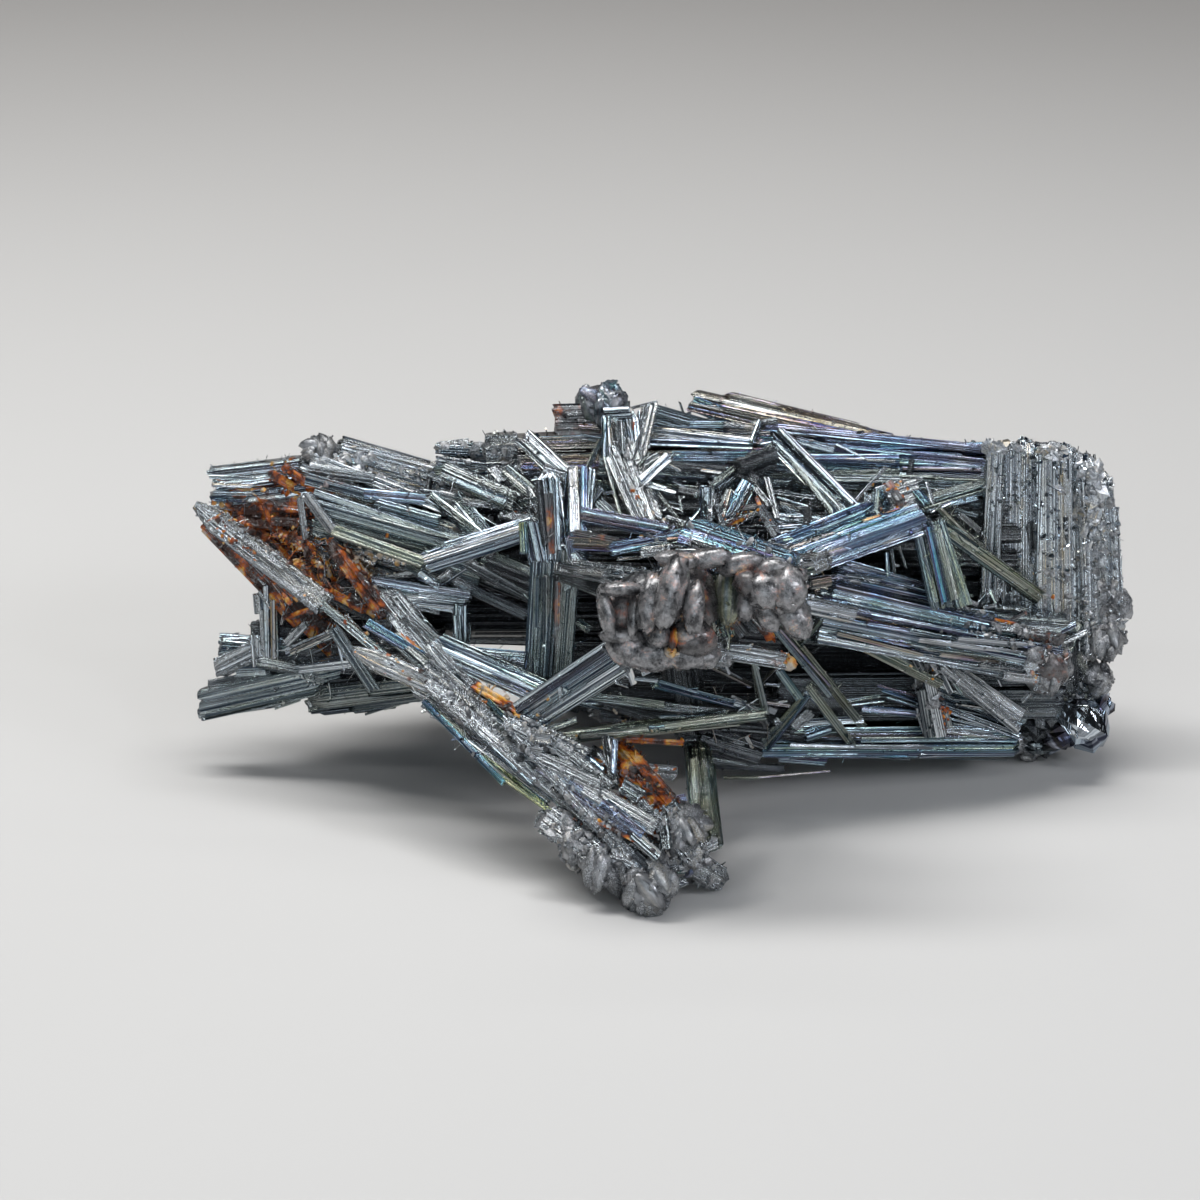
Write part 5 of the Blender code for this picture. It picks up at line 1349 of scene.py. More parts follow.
def tip_rings(kind, width, chance):
    """Each end's tip ring and shoulder: how far in from the end, and the share of the outline."""
    count = len(kind)
    tip = np.choose(kind, [0.97, 0.58, chance.uniform(0.30, 0.50, count)])
    reach = np.choose(kind, [0.05 * width, 0.34 * width, chance.uniform(0.9, 1.3, count) * width])
    return tip, reach


def bars(rods, segments, columns, chance):
    """Closed bars: base + along * s + wide * x + deep * y, over rings s and columns (x, y)."""
    count = len(rods.length)
    outline = outlines(rods, columns, chance)
    sides = outline.shape[1]
    leaders = lath_leaders(count, sides, chance, LATH_START)
    rings = 2 * segments + 2
    size = np.minimum(rods.width, rods.thick)[:, None]
    # where each ring lies along the bar, and how much of the outline it keeps
    kinds = rods.tips.astype(int)
    tip_a, reach_a = tip_rings(kinds[:, 0], rods.width, chance)
    tip_b, reach_b = tip_rings(kinds[:, 1], rods.width, chance)
    length = rods.length
    reach_a, reach_b = np.minimum(reach_a, 0.4 * length), np.minimum(reach_b, 0.4 * length)
    body = (length - reach_a - reach_b)[:, None]
    along = np.empty((count, rings, sides))
    scale = np.ones((count, rings, 1))
    ragged = 0.26 * np.minimum(rods.width, 3.2)[:, None]
    first = per_lath(chance.uniform(-0.7, 1.0, (count, sides)) ** 3, leaders) * ragged
    last = per_lath(chance.uniform(-1.0, 0.7, (count, sides)) ** 3, leaders) * ragged
    blunt_a, blunt_b = (kinds[:, :1] == 0), (kinds[:, 1:] == 0)
    slope = chance.uniform(-0.14, 0.14, (count, 2, 1))
    along[:, 0] = np.where(blunt_a, first, 0.3 * first) + slope[:, 0] * outline[..., 0]
    along[:, 1] = along[:, 0] + reach_a[:, None]
    along[:, -1] = length[:, None] + np.where(blunt_b, last, 0.3 * last) + slope[:, 1] * outline[..., 0]
    along[:, -2] = along[:, -1] - reach_b[:, None]
    scale[:, 0, 0], scale[:, -1, 0] = tip_a, tip_b
    for k in range(1, segments):
        jitter = per_lath(chance.uniform(-0.42, 0.42, (count, sides)), leaders)
        along[:, 2 * k] = reach_a[:, None] + body * (k + jitter) / segments
        along[:, 2 * k + 1] = along[:, 2 * k] + STEP_LENGTH
    # how far each lath stands back, segment by segment
    groove = chance.uniform(-1.0, 1.0, (count, sides)) * np.minimum(DEEPEST_GROOVE, 0.014 * size)
    recess = np.zeros((count, rings, sides))
    level = per_lath(chance.random((count, sides)) ** 2.2, leaders)
    for k in range(segments):
        if k:
            fresh = per_lath(chance.random((count, sides)) ** 2.2, leaders)
            broken = per_lath(chance.random((count, sides)), leaders) < LATH_BREAKS
            level = np.where(broken, fresh, level)
        recess[:, 2 * k + 1: 2 * k + 3] = level[:, None]
    recess[:, 0], recess[:, -1] = recess[:, 1], recess[:, -2]
    depth = np.minimum(DEEPEST_STEP, 0.13 * size)[..., None]
    # the outward direction of each column on its outline
    edge = np.roll(outline, -1, axis=1) - np.roll(outline, 1, axis=1)
    outward = unit(np.stack([edge[..., 1], -edge[..., 0]], axis=-1))
    push = groove[:, None] - recess * depth
    profile = outline[:, None] * scale[..., None] + outward[:, None] * push[..., None]
    around = np.concatenate([np.zeros((count, 1)), np.cumsum(
        np.linalg.norm(np.roll(outline, -1, axis=1) - outline, axis=-1), axis=1)], axis=1)
    around = around + chance.uniform(0, UV_SPREAD, (count, 1))
    drift = along + chance.uniform(0, UV_SPREAD, (count, 1, 1))
    spots = carried(rods, along, profile)
    quads = ring_grid(count, rings, sides)
    coats = np.broadcast_to(rods.coat[:, None, None, :4], (count, rings, sides, 4)).copy()
    films = np.broadcast_to(rods.coat[:, None, None, 4], (count, rings, sides)).copy()
    films += per_lath(chance.normal(0, 0.05, (count, sides)), leaders)[:, None]
    body_growth = Growth(spots.reshape(-1, 3), {3: np.empty((0, 3), int), 4: quads},
                         {3: np.empty((0, 3, 2)), 4: ring_uvs(drift, around)},
                         coats.reshape(-1, 4), films.reshape(-1))
    ends = [end_caps(rods, along[:, at], profile[:, at], at, leaders, chance) for at in (0, -1)]
    return merged([body_growth] + ends)


def carried(rods, along, profile):
    """Places of a profile that is carried along each rod: base + along * s + wide * x + deep * y."""
    return (rods.base[:, None, None] + rods.along[:, None, None] * along[..., None]
            + rods.wide[:, None, None] * profile[..., :1] + rods.deep[:, None, None] * profile[..., 1:])


def end_caps(rods, along, profile, at, leaders, chance):
    """A broken end: the tip ring, a ring half way in that is broken deeper, and the middle."""
    count, sides = along.shape
    inward = 1.0 if at == 0 else -1.0
    middle = along.mean(axis=1, keepdims=True)
    hollow = per_lath(chance.uniform(-0.05, 0.16, (count, sides)), leaders) * rods.width[:, None]
    inner_along = 0.4 * along + 0.6 * middle + inward * hollow
    grid_along = np.stack([along, inner_along], axis=1)
    grid_profile = np.stack([profile, 0.55 * profile], axis=1)
    spots = carried(rods, grid_along, grid_profile).reshape(count, 2 * sides, 3)
    centre = carried(rods, middle[:, None] + inward * 0.03 * rods.width[:, None, None],
                     np.zeros((count, 1, 1, 2))).reshape(count, 1, 3)
    spots = np.concatenate([spots, centre], axis=1)
    first = np.arange(count)[:, None] * (2 * sides + 1)
    j = np.arange(sides)
    after = (j + 1) % sides
    quads = np.stack([first + j, first + sides + j, first + sides + after, first + after], axis=-1)
    tris = np.stack([first + sides + j, np.broadcast_to(first + 2 * sides, (count, sides)),
                     first + sides + after], axis=-1)
    quads, tris = quads.reshape(-1, 4), tris.reshape(-1, 3)
    if at != 0:
        quads, tris = quads[:, ::-1], tris[:, ::-1]
    flat = np.concatenate([grid_profile.reshape(count, 2 * sides, 2), np.zeros((count, 1, 2))], axis=1)
    flat = (flat + chance.uniform(0, END_UV_SPREAD, (count, 1, 2))).reshape(-1, 2) * (1.0, 0.4)
    coats = np.repeat(rods.coat[:, :4], 2 * sides + 1, axis=0)
    coats[:, 0] = np.clip(coats[:, 0] + 0.35, 0, 1)
    films = np.repeat(rods.coat[:, 4], 2 * sides + 1)
    return Growth(spots.reshape(-1, 3), {3: tris, 4: quads}, {3: flat[tris], 4: flat[quads]}, coats, films)


def chosen(rods, mask):
    """Only the rods that the mask keeps."""
    return Rods(*(column[mask] for column in rods))


def bodies(name, rods):
    """All bars of a piece: the thick ones with many columns, the slim and the small with fewer."""
    wide = rods.width > WIDE_FROM
    growths = []
    for columns, some in ((WIDE_BARS, chosen(rods, wide)), (SLIM_BARS, chosen(rods, ~wide))):
        if len(some.length):
            chance = seed_of(f"{name} {len(columns)} {columns[0]}")
            growths.append(bars(some, BAR_SEGMENTS, columns, chance))
    if name in SMALL:
        growths.append(bars(SMALL[name], BAR_SEGMENTS, SMALL_BARS, seed_of(name + " small")))
    return growths


# %% [markdown]
# ## Loose laths
# Slender laths lie along every bar and stand a little proud of it, some past its end. They are
# six-sided and have few faces, because there are thousands of them.

# %% Laths
LATH_SIDES = 6
LATHS_PER_AREA, MOST_LATHS = 0.060, 34
LATH_SHARE, LATH_PAST_END, LATH_OVERHANG = (0.18, 0.85), 0.22, 0.7
LATH_WIDTH, LATH_FLATNESS, THICKEST_LATH = (0.10, 0.34), (0.4, 1.0), 0.5


def slim_prisms(base, along, wide, deep, length, width, thick, coats, films, chance):
    """Six-sided prisms: corners at equal angles on an ellipse, ends cut on a slant, flat caps."""
    count = len(length)
    angle = np.arange(LATH_SIDES) / LATH_SIDES * 2 * math.pi + chance.uniform(0, 0.6, (count, 1))
    ring = np.stack([np.cos(angle) * width[:, None] / 2, np.sin(angle) * thick[:, None] / 2], axis=-1)
    ring = ring * (1 + chance.uniform(-0.15, 0.15, (count, LATH_SIDES, 1)))
    profile = np.stack([ring, ring * chance.uniform(0.7, 1.0, (count, 1, 1))], axis=1)
    slant = chance.uniform(-0.8, 0.8, (count, 2, 1)) * ring[:, None, :, 0]
    s = np.stack([np.zeros(count), length], axis=1)[..., None] + slant
    line = Rods(base, along, wide, deep, length, width, thick, None, None)
    spots = carried(line, s, profile).reshape(-1, 3)
    quads = ring_grid(count, 2, LATH_SIDES)
    around = np.arange(LATH_SIDES + 1) / LATH_SIDES * (width + thick)[:, None] * 1.6
    around = around + chance.uniform(0, UV_SPREAD, (count, 1))
    uvs = ring_uvs(s + chance.uniform(0, UV_SPREAD, (count, 1, 1)), around)
    first = np.arange(count)[:, None] * 2 * LATH_SIDES
    near = np.array([[0, 3, 2, 1], [0, 5, 4, 3]])
    far = LATH_SIDES + near[:, ::-1]
    caps = (first[:, None] + np.concatenate([near, far])[None]).reshape(-1, 4)
    cap_uvs = np.broadcast_to(chance.uniform(0, UV_SPREAD, (len(caps), 1, 2)), (len(caps), 4, 2))
    corners = 2 * LATH_SIDES
    return Growth(spots, {3: np.empty((0, 3), int), 4: np.concatenate([quads, caps])},
                  {3: np.empty((0, 3, 2)), 4: np.concatenate([uvs, cap_uvs])},
                  np.repeat(coats, corners, axis=0), np.repeat(films, corners))


def laths(name, rods):
    """Laths on every rod: they start anywhere along it and stand proud of it by half their depth."""
    chance = seed_of(name + " laths")
    bare = np.clip(1.35 - 1.5 * rods.coat[:, 0], 0.05, 1.0)
    amount = rods.length * (rods.width + rods.thick) * LATHS_PER_AREA * bare
    amount = np.clip(amount, 1, MOST_LATHS).astype(int)
    host = np.repeat(np.arange(len(amount)), amount)
    count = len(host)
    length_of, width_of, thick_of = rods.length[host], rods.width[host], rods.thick[host]
    length = length_of * chance.uniform(*LATH_SHARE, count)
    start = (length_of - length) * chance.random(count)
    past = chance.random(count) < LATH_PAST_END
    shift = np.sign(chance.uniform(-1, 1, count)) * chance.uniform(0, 0.9, count)
    start = np.where(past, start + shift, start)
    start = np.clip(start, -LATH_OVERHANG, length_of - length + LATH_OVERHANG)
    angle = chance.uniform(0, 2 * math.pi, count)
    x = 0.47 * width_of * np.clip(1.25 * np.cos(angle), -1, 1)
    y = 0.47 * thick_of * np.clip(1.25 * np.sin(angle), -1, 1)
    axis = rods.along[host]
    wide, deep = rods.wide[host], rods.deep[host]
    base = rods.base[host] + axis * start[:, None] + wide * x[:, None] + deep * y[:, None]
    stray = chance.normal(0, 0.011, (count, 2))
    heading = unit(axis + wide * stray[:, :1] + deep * stray[:, 1:])
    out = unit(wide * np.cos(angle)[:, None] * width_of[:, None] ** -1
               + deep * np.sin(angle)[:, None] * thick_of[:, None] ** -1)
    side = unit(np.cross(out, heading))
    out = np.cross(heading, side)
    slim = np.minimum(width_of, 3.0)
    width = slim * chance.uniform(*LATH_WIDTH, count)
    thick = np.minimum(width * chance.uniform(*LATH_FLATNESS, count), THICKEST_LATH)
    coats = rods.coat[host, :4] + chance.normal(0, 0.05, (count, 4)) * (1.4, 0.2, 1.0, 1.0)
    coats = np.clip(coats, 0, 1)
    films = rods.coat[host, 4] + chance.normal(0, 0.07, count)
    return slim_prisms(base, heading, side, -out, length, width, thick, coats, films, chance)


# %% [markdown]
# ## Needles and druse
# Needles of all sizes, from chips and splinters to fine hairs, sprout from the bars, and a druse,
# a crust of tiny crystals, grows on the dull faces. Both start on a face of a finished bar, so
# none of them hangs in the air.

# %% Picking places on a surface
ROOTED = 0.3


def face_facts(growth):
    """Centre, outward direction and area of every four-cornered face: half its diagonals' cross."""
    corners = growth.spots[growth.faces[4]]
    cross = np.cross(corners[:, 2] - corners[:, 0], corners[:, 3] - corners[:, 1])
    area = np.linalg.norm(cross, axis=1)
    return corners.mean(axis=1), cross / np.maximum(area, 1e-9)[:, None], area / 2


def picked(growth, count, weight, chance):
    """Random places on a growth, more of them where a face is larger and its weight is higher."""
    centre, out, area = face_facts(growth)
    share = area * weight(centre, out, growth.coats[growth.faces[4][:, 0]])
    index = chance.choice(len(area), size=count, p=share / share.sum())
    corners = growth.spots[growth.faces[4][index]]
    u, v = chance.random((2, count, 1))
    spot = ((1 - u) * (1 - v) * corners[:, 0] + u * (1 - v) * corners[:, 1]
            + u * v * corners[:, 2] + (1 - u) * v * corners[:, 3])
    face = growth.faces[4][index, 0]
    return spot, out[index], growth.coats[face], growth.films[face]


def square_to(along, chance):
    """Two random directions that are square to each other and to the given one."""
    wide = unit(np.cross(along, chance.normal(0, 1, along.shape)))
    return wide, np.cross(along, wide)


def needles(growth, count, weight, heading, spread, lengths, widths, chance):
    """Needles that sprout from a growth: a common heading, a spread of their own, a share outward."""
    spot, out, coats, films = picked(growth, count, weight, chance)
    along = unit(np.asarray(heading) + chance.normal(0, 1, (count, 3)) * spread + 0.5 * out)
    along = np.where(np.sum(along * out, axis=1, keepdims=True) < -0.2, -along, along)
    wide, deep = square_to(along, chance)
    length = chance.uniform(*lengths, count)
    width = chance.uniform(*widths, count)
    return slim_prisms(spot - along * ROOTED, along, wide, deep, length, width,
                       width * chance.uniform(0.5, 1.0, count), coats, films, chance)


# %% Druse grains
GRAIN_SIDES = 5


def grain_sizes(smallest, more, count, chance):
    """The smallest size plus a random share of more, to a power that keeps most grains small."""
    return smallest + more * chance.random(count) ** 2.4


def grains(spot, out, size, coats, films, chance):
    """Stubby crystals: a five-sided ring, a smaller ring above it and a slanting top."""
    count = len(size)
    along = unit(out + chance.normal(0, 0.55, (count, 3)))
    wide, deep = square_to(along, chance)
    angle = np.arange(GRAIN_SIDES) / GRAIN_SIDES * 2 * math.pi
    ring = np.stack([np.cos(angle), np.sin(angle)], axis=-1)[None] * size[:, None, None]
    ring = ring * (1, 0.75) * (1 + chance.uniform(-0.25, 0.25, (count, GRAIN_SIDES, 1)))
    profile = np.stack([ring, ring * chance.uniform(0.45, 0.9, (count, 1, 1))], axis=1)
    slant = chance.uniform(-0.5, 0.5, (count, 1, 1)) * ring[:, None, :, 0]
    height = size * chance.uniform(0.5, 1.7, count)
    s = np.stack([-0.5 * size, height], axis=1)[..., None] + slant * (np.array([0, 1])[:, None])
    line = Rods(spot, along, wide, deep, None, None, None, None, None)
    spots = carried(line, s, profile).reshape(-1, 3)
    first = np.arange(count)[:, None] * 2 * GRAIN_SIDES
    top = np.array([[5, 6, 7], [5, 7, 8], [5, 8, 9]])
    foot = np.array([[0, 2, 1], [0, 3, 2], [0, 4, 3]])
    tris = (first[:, None] + np.concatenate([top, foot])[None]).reshape(-1, 3)
    quads = ring_grid(count, 2, GRAIN_SIDES)
    shifts = chance.uniform(0, UV_SPREAD, (count, 1, 1, 2))
    quad_uvs = np.broadcast_to(shifts, (count, GRAIN_SIDES, 4, 2)).reshape(-1, 4, 2)
    tri_uvs = np.broadcast_to(shifts, (count, 6, 3, 2)).reshape(-1, 3, 2)
    corners = 2 * GRAIN_SIDES
    return Growth(spots, {3: tris, 4: quads}, {3: tri_uvs, 4: quad_uvs},
                  np.repeat(coats, corners, axis=0), np.repeat(films, corners))


# %% [markdown]
# ## Rounded heads
# A head is where many crystal tips end together. Each tip is a small rounded lump, longer than it
# is wide, and the lumps sit side by side on a ball. Other lumps are placed one by one, and a
# crust is many flat ones strewn along a line on the bars. A lump is a grid of two angles: rings
# from its foot to its top, and corners around each ring. With few of them it has broad facets.

# %% Lumps and heads
FINE_GRID, FACET_GRID, COARSE_GRID = (9, 14), (7, 10), (3, 6)
POLE_GAP = 0.12
CRUST_SHAPE, CRUST_ROUGHNESS = (1, 1, 0.5), 1.6


def lumps(middle, axes, radii, coats, films, grid, rough, chance):
    """Closed lumps: middle + radius * (wide s cos p, deep s sin p, along cos t), s = sin t ** 0.8."""
    count = len(middle)
    rings, sides = grid
    theta = np.linspace(POLE_GAP, math.pi - POLE_GAP, rings)[:, None]
    phi = np.arange(sides)[None] / sides * 2 * math.pi + 0.4 * theta
    shape = np.stack([np.sin(theta) ** 0.8 * np.cos(phi), np.sin(theta) ** 0.8 * np.sin(phi),
                      np.cos(theta) * np.ones_like(phi)], axis=-1)
    bumpy = 1 + rough * chance.uniform(-0.16, 0.10, (count, rings, sides, 1))
    ribbed = 1 + rough * chance.uniform(-0.14, 0.10, (count, 1, sides, 1))
    local = shape * bumpy * ribbed * radii[:, None, None]
    spots = middle[:, None, None] + sum(local[..., k:k + 1] * axis[:, None, None]
                                        for k, axis in enumerate(axes))
    tips = np.stack([middle + sign * axes[2] * radii[:, 2:] for sign in (1, -1)], axis=1)
    total = rings * sides
    spots = np.concatenate([spots.reshape(count, total, 3), tips], axis=1)
    first = np.arange(count)[:, None, None] * (total + 2)
    j = np.arange(sides)
    after, last = (j + 1) % sides, total - sides
    i = np.arange(rings - 1)[:, None]
    here = i * sides
    quads = np.stack([here + j, here + sides + j, here + sides + after, here + after], axis=-1)
    tris = np.concatenate([np.stack([np.full_like(j, total), j, after], axis=-1),
                           np.stack([np.full_like(j, total + 1), last + after, last + j], axis=-1)])
    quads = (first + quads.reshape(1, -1, 4)).reshape(-1, 4)
    tris = (first + tris[None]).reshape(-1, 3)
    flat = np.concatenate([np.stack(np.broadcast_arrays(theta, phi), axis=-1).reshape(total, 2),
                           [[0, 0], [math.pi, 0]]])
    flat = (flat[None] * 0.2 + chance.uniform(0, UV_SPREAD, (count, 1, 2))).reshape(-1, 2)
    return Growth(spots.reshape(-1, 3), {3: tris, 4: quads}, {3: flat[tris], 4: flat[quads]},
                  np.repeat(coats, total + 2, axis=0), np.repeat(films, total + 2))


LUMPS_PER_HEAD = 16
LUMP_SIZE, LUMP_STRETCH, LUMP_SUNK = (0.22, 0.46), (1.2, 2.3), 0.62


def head_surface(head, chance):
    """A ball with ridges on it, each sunk until two fifths of its radius stand out of the ball."""
    centre, radii = place(*head.centre), np.array(head.radii)
    out = unit(chance.normal(0, 1, (LUMPS_PER_HEAD, 3)) + 0.6 * (UPWARD - SIGHT))
    upright = UPWARD + chance.normal(0, 0.45, out.shape)
    along = unit(upright - 0.8 * out * np.sum(upright * out, axis=1, keepdims=True))
    size = chance.uniform(*LUMP_SIZE, (LUMPS_PER_HEAD, 1)) * radii.mean()
    shape = np.concatenate([size, size * chance.uniform(0.8, 1.0, size.shape),
                            size * chance.uniform(*LUMP_STRETCH, size.shape)], axis=1)
    shape[:, 2] = np.minimum(shape[:, 2], 0.8 * radii.mean())
    middle = centre + out * (radii - LUMP_SUNK * size)
    middle = np.concatenate([middle, centre[None]])
    along = np.concatenate([along, UPWARD[None]])
    shape = np.concatenate([shape, [radii * 0.86]])
    coats = np.tile(COATS[head.coat], (len(shape), 1))
    coats = np.clip(coats + chance.normal(0, 1, coats.shape) * (0.20, 0.02, 0.10, 0.08, 0.08), 0, 1)
    return lumps(middle, (*square_to(along, chance), along), shape, coats[:, :4], coats[:, 4],
                 FINE_GRID, 1.0, chance)


def placed_lumps(rows, grid, rough, chance):
    """Lumps that stand as the viewer sees them: along is up the display plane, turned by the lean."""
    middle = np.concatenate([place(*np.array([row.spot]).T) for row in rows])
    lean = np.radians([row.lean for row in rows])[:, None]
    along = np.cos(lean) * UPWARD + np.sin(lean) * SIDEWAYS
    wide = np.cos(lean) * SIDEWAYS - np.sin(lean) * UPWARD
    deep = np.cross(along, wide)
    coats = np.array([COATS[row.coat] for row in rows])
    radii = np.array([row.radii for row in rows])
    return lumps(middle, (wide, deep, along), radii, coats[:, :4], coats[:, 4], grid, rough, chance)


def crusted(row, chance):
    """Flat lumps on a region's surface, more of them the nearer to the line from start to end."""
    one, other = place(*row.start), place(*row.end)
    run = other - one

    def near_line(centre, out, coats):
        share = np.clip((centre - one) @ run / (run @ run), 0, 1)[:, None]
        away = np.sum((centre - one - share * run) ** 2, axis=1) / row.spread**2
        return np.exp(-away) * np.clip(0.2 - out @ SIGHT + 0.4 * out[:, 2], 0.0, None)

    spot, out, _, _ = picked(GROWN[row.region], row.count, near_line, chance)
    along = unit(out + chance.normal(0, 0.35, out.shape))
    size = row.sizes[0] + (row.sizes[1] - row.sizes[0]) * chance.random((row.count, 1)) ** 2.2
    radii = size * chance.uniform(0.6, 1.3, (row.count, 3)) * CRUST_SHAPE
    coat = np.array(COATS[row.coat]) + chance.normal(0, 0.08, (row.count, 5)) * (1, 0.6, 1, 1, 1)
    coat = np.clip(coat, 0, 1)
    return lumps(spot, (*square_to(along, chance), along), radii, coat[:, :4], coat[:, 4],
                 COARSE_GRID, CRUST_ROUGHNESS, chance)


# %% [markdown]
# ## Stains that follow the place, not the bar
# Iron stains and tarnish spread across neighbouring bars. Each patch is a soft round cloud at a
# place of the drawing, and the nearer a corner lies to its middle, the more it takes from it.

# %% Patches over the coats
def clouds(spots, patches):
    """Each patch with its share at each spot: amount * exp of minus the squared distance in radii."""
    for patch in patches:
        middle = place(patch.across, patch.up, patch.back)
        away = np.sum((spots - middle) ** 2, axis=1) / patch.radius**2
        yield patch, patch.amount * np.exp(-away)


def stained(growth):
    """The growth with the rust and tarnish patches laid over its coats."""
    coats, films = growth.coats.copy(), growth.films.copy()
    for _, share in clouds(growth.spots, RUST_PATCHES):
        coats[:, 1] = np.maximum(coats[:, 1], share)
    for patch, share in clouds(growth.spots, TARNISH_PATCHES):
        coats[:, 3] = np.maximum(coats[:, 3], share)
        films += share * (patch.film - films)
    return growth._replace(coats=np.clip(coats, 0, 1), films=np.clip(films, 0, 1))


# %% [markdown]
# ## Into Blender
# The finished arrays go into a mesh in one step each. Nothing may reach below the surface that
# the spray rests on or far out of the solid's box, so the corners are held to it and a margin.

# %% Pieces
LOWEST, HIGHEST = np.array(solid_box) / MM
MARGIN_BELOW, MARGIN_ABOVE = (1.6, 1.0, -0.03), (1.6, 1.0, 1.0)


def piece(name, growths, finish, rounded=False):
    """A mesh object from stacked growths, riding on the one body of the spray."""
    growth = stained(merged(growths))
    spots = np.clip(growth.spots, LOWEST - MARGIN_BELOW, HIGHEST + MARGIN_ABOVE)
    tris, quads = growth.faces[3], growth.faces[4]
    mesh = bpy.data.meshes.new(name)
    mesh.vertices.add(len(spots))
    mesh.vertices.foreach_set("co", (spots * MM).ravel())
    mesh.loops.add(3 * len(tris) + 4 * len(quads))
    mesh.loops.foreach_set("vertex_index", np.concatenate([tris.ravel(), quads.ravel()]))
    mesh.polygons.add(len(tris) + len(quads))
    starts = np.concatenate([3 * np.arange(len(tris)), 3 * len(tris) + 4 * np.arange(len(quads))])
    mesh.polygons.foreach_set("loop_start", starts)
    mesh.update(calc_edges=True)
    if not rounded:
        mesh.shade_flat()
    lengthwise = mesh.uv_layers.new(name="lengthwise")
    uvs = np.concatenate([growth.uvs[3].reshape(-1, 2), growth.uvs[4].reshape(-1, 2)])
    lengthwise.data.foreach_set("uv", uvs.ravel())
    # the coat attribute holds dull, rust, painted shade and tarnish, in this order
    coat = mesh.attributes.new("coat", "FLOAT_COLOR", "POINT")
    coat.data.foreach_set("color", growth.coats.ravel())
    film = mesh.attributes.new("film", "FLOAT", "POINT")
    film.data.foreach_set("value", growth.films.astype(np.float32))
    mesh.materials.append(finish)
    made = bpy.data.objects.new(name, mesh)
    bpy.context.scene.collection.objects.link(made)
    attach(made, "root")
    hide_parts(SPRAY)
    triangles = len(tris) + 2 * len(quads)
    print(f"{name}: {triangles} triangles")
    return made


# %% [markdown]
# ## A short way to write materials
# A material is a net of nodes. The class below wraps a node's socket, so that a sum written in
# Python adds the Math nodes by itself, and any other node comes from one method.

# %% Wires and finishes
def sign(operation, swapped=False):
    """A method for one of Python's signs: it adds the Math node of that operation."""
    def method(self, other):
        values = {0: other, 1: self} if swapped else {0: self, 1: other}
        return self.finish.node("ShaderNodeMath", {"operation": operation}, values)
    return method


class Wire:
    """A node's output that takes part in sums."""

    def __init__(self, finish, socket):
        self.finish, self.socket = finish, socket

    __add__ = __radd__ = sign("ADD")
    __sub__, __rsub__ = sign("SUBTRACT"), sign("SUBTRACT", swapped=True)
    __mul__ = __rmul__ = sign("MULTIPLY")
    __pow__ = sign("POWER")

    def clamped(self):
        """The value held between 0 and 1."""
        return self.finish.node("ShaderNodeClamp", {}, {"Value": self})

    def between(self, low, high):
        """0 below low, 1 above high, and a smooth rise between them."""
        settings = {"interpolation_type": "SMOOTHSTEP"}
        return self.finish.node("ShaderNodeMapRange", settings, {"Value": self, 1: low, 2: high})


class Finish:
    """A material under construction."""

    def __init__(self, name):
        self.material = bpy.data.materials.new(name)
        self.material.use_nodes = True
        self.tree = self.material.node_tree
        self.shader = self.tree.nodes["Principled BSDF"]

    def node(self, kind, settings, values, output=0):
        """Any node: its settings first, then the values or wires of its sockets."""
        made = self.tree.nodes.new(kind)
        for name, value in settings.items():
            if name == "stops":
                self.set_stops(made.color_ramp, value)
            else:
                setattr(made, name, value)
        for key, value in values.items():
            self.plug(made.inputs[key], value)
        return Wire(self, made.outputs[output])

    def plug(self, socket, value):
        """A wire is linked, and anything else becomes the socket's own value."""
        if isinstance(value, Wire):
            self.tree.links.new(value.socket, socket)
        else:
            socket.default_value = value

    @staticmethod
    def set_stops(ramp, stops):
        """A ramp's stops, as places and colours."""
        for spot, _ in stops[2:]:
            ramp.elements.new(spot)
        for element, (spot, colour) in zip(ramp.elements, stops):
            element.position = spot
            element.color = (*colour, 1.0)

    def noise(self, place_wire, scale, detail=2.0, roughness=0.5):
        """A cloudy value about 0.5 at a place."""
        values = {"Vector": place_wire, "Scale": scale, "Detail": detail, "Roughness": roughness}
        return self.node("ShaderNodeTexNoise", {}, values)

    def blend(self, factor, one, other):
        """A colour between two colours."""
        settings = {"data_type": "RGBA", "clamp_factor": True}
        return self.node("ShaderNodeMix", settings, {0: factor, 6: one, 7: other}, 2)

    def stretched(self, place_wire, scale):
        """A place whose x, y and z are multiplied, each by its own number."""
        return self.node("ShaderNodeVectorMath", {"operation": "MULTIPLY"}, {0: place_wire, 1: scale})

    def finished(self, **sockets):
        """Plugs the shader's sockets, with spaces in place of underscores, and hands the material over."""
        for key, value in sockets.items():
            self.plug(self.shader.inputs[key.replace("_", " ")], value)
        return self.material


# %% [markdown]
# ## The stibnite finish
# Stibnite is a dark mirror with a blue-grey cast. Three things break the mirror up. Fine lines
# run along each bar, so the lustre comes in streaks; the colour itself also swings from near black
# to near white along these lines, a painted sheen laid over the real striations. Tarnish is a film
# thin enough to show colours, which run from gold through violet and blue to green as it thickens.
# And a crust or an iron stain turns it dull; the crust's pale specks are partly painted glints.
# All of them follow the bar's own length through its UV map. Besides, painted shade darkens
# dark pits on dull faces and every bar whose coat has a shade number.

# %% The stibnite material
FILM_COLOURS = [
    (0.00, (0.78, 0.86, 0.94)), (0.20, (0.60, 0.58, 0.52)), (0.31, (0.50, 0.36, 0.13)),
    (0.38, (0.30, 0.15, 0.20)), (0.44, (0.24, 0.19, 0.46)), (0.52, (0.05, 0.16, 0.46)),
    (0.62, (0.10, 0.32, 0.50)), (0.74, (0.16, 0.38, 0.38)), (0.86, (0.34, 0.40, 0.16)),
    (1.00, (0.44, 0.42, 0.30)),
]
RUST_COLOURS = [
    (0.00, (0.010, 0.004, 0.003)), (0.40, (0.045, 0.012, 0.005)), (0.54, (0.260, 0.050, 0.008)),
    (0.68, (0.440, 0.115, 0.012)), (0.80, (0.620, 0.330, 0.040)), (1.00, (0.480, 0.410, 0.330)),
]


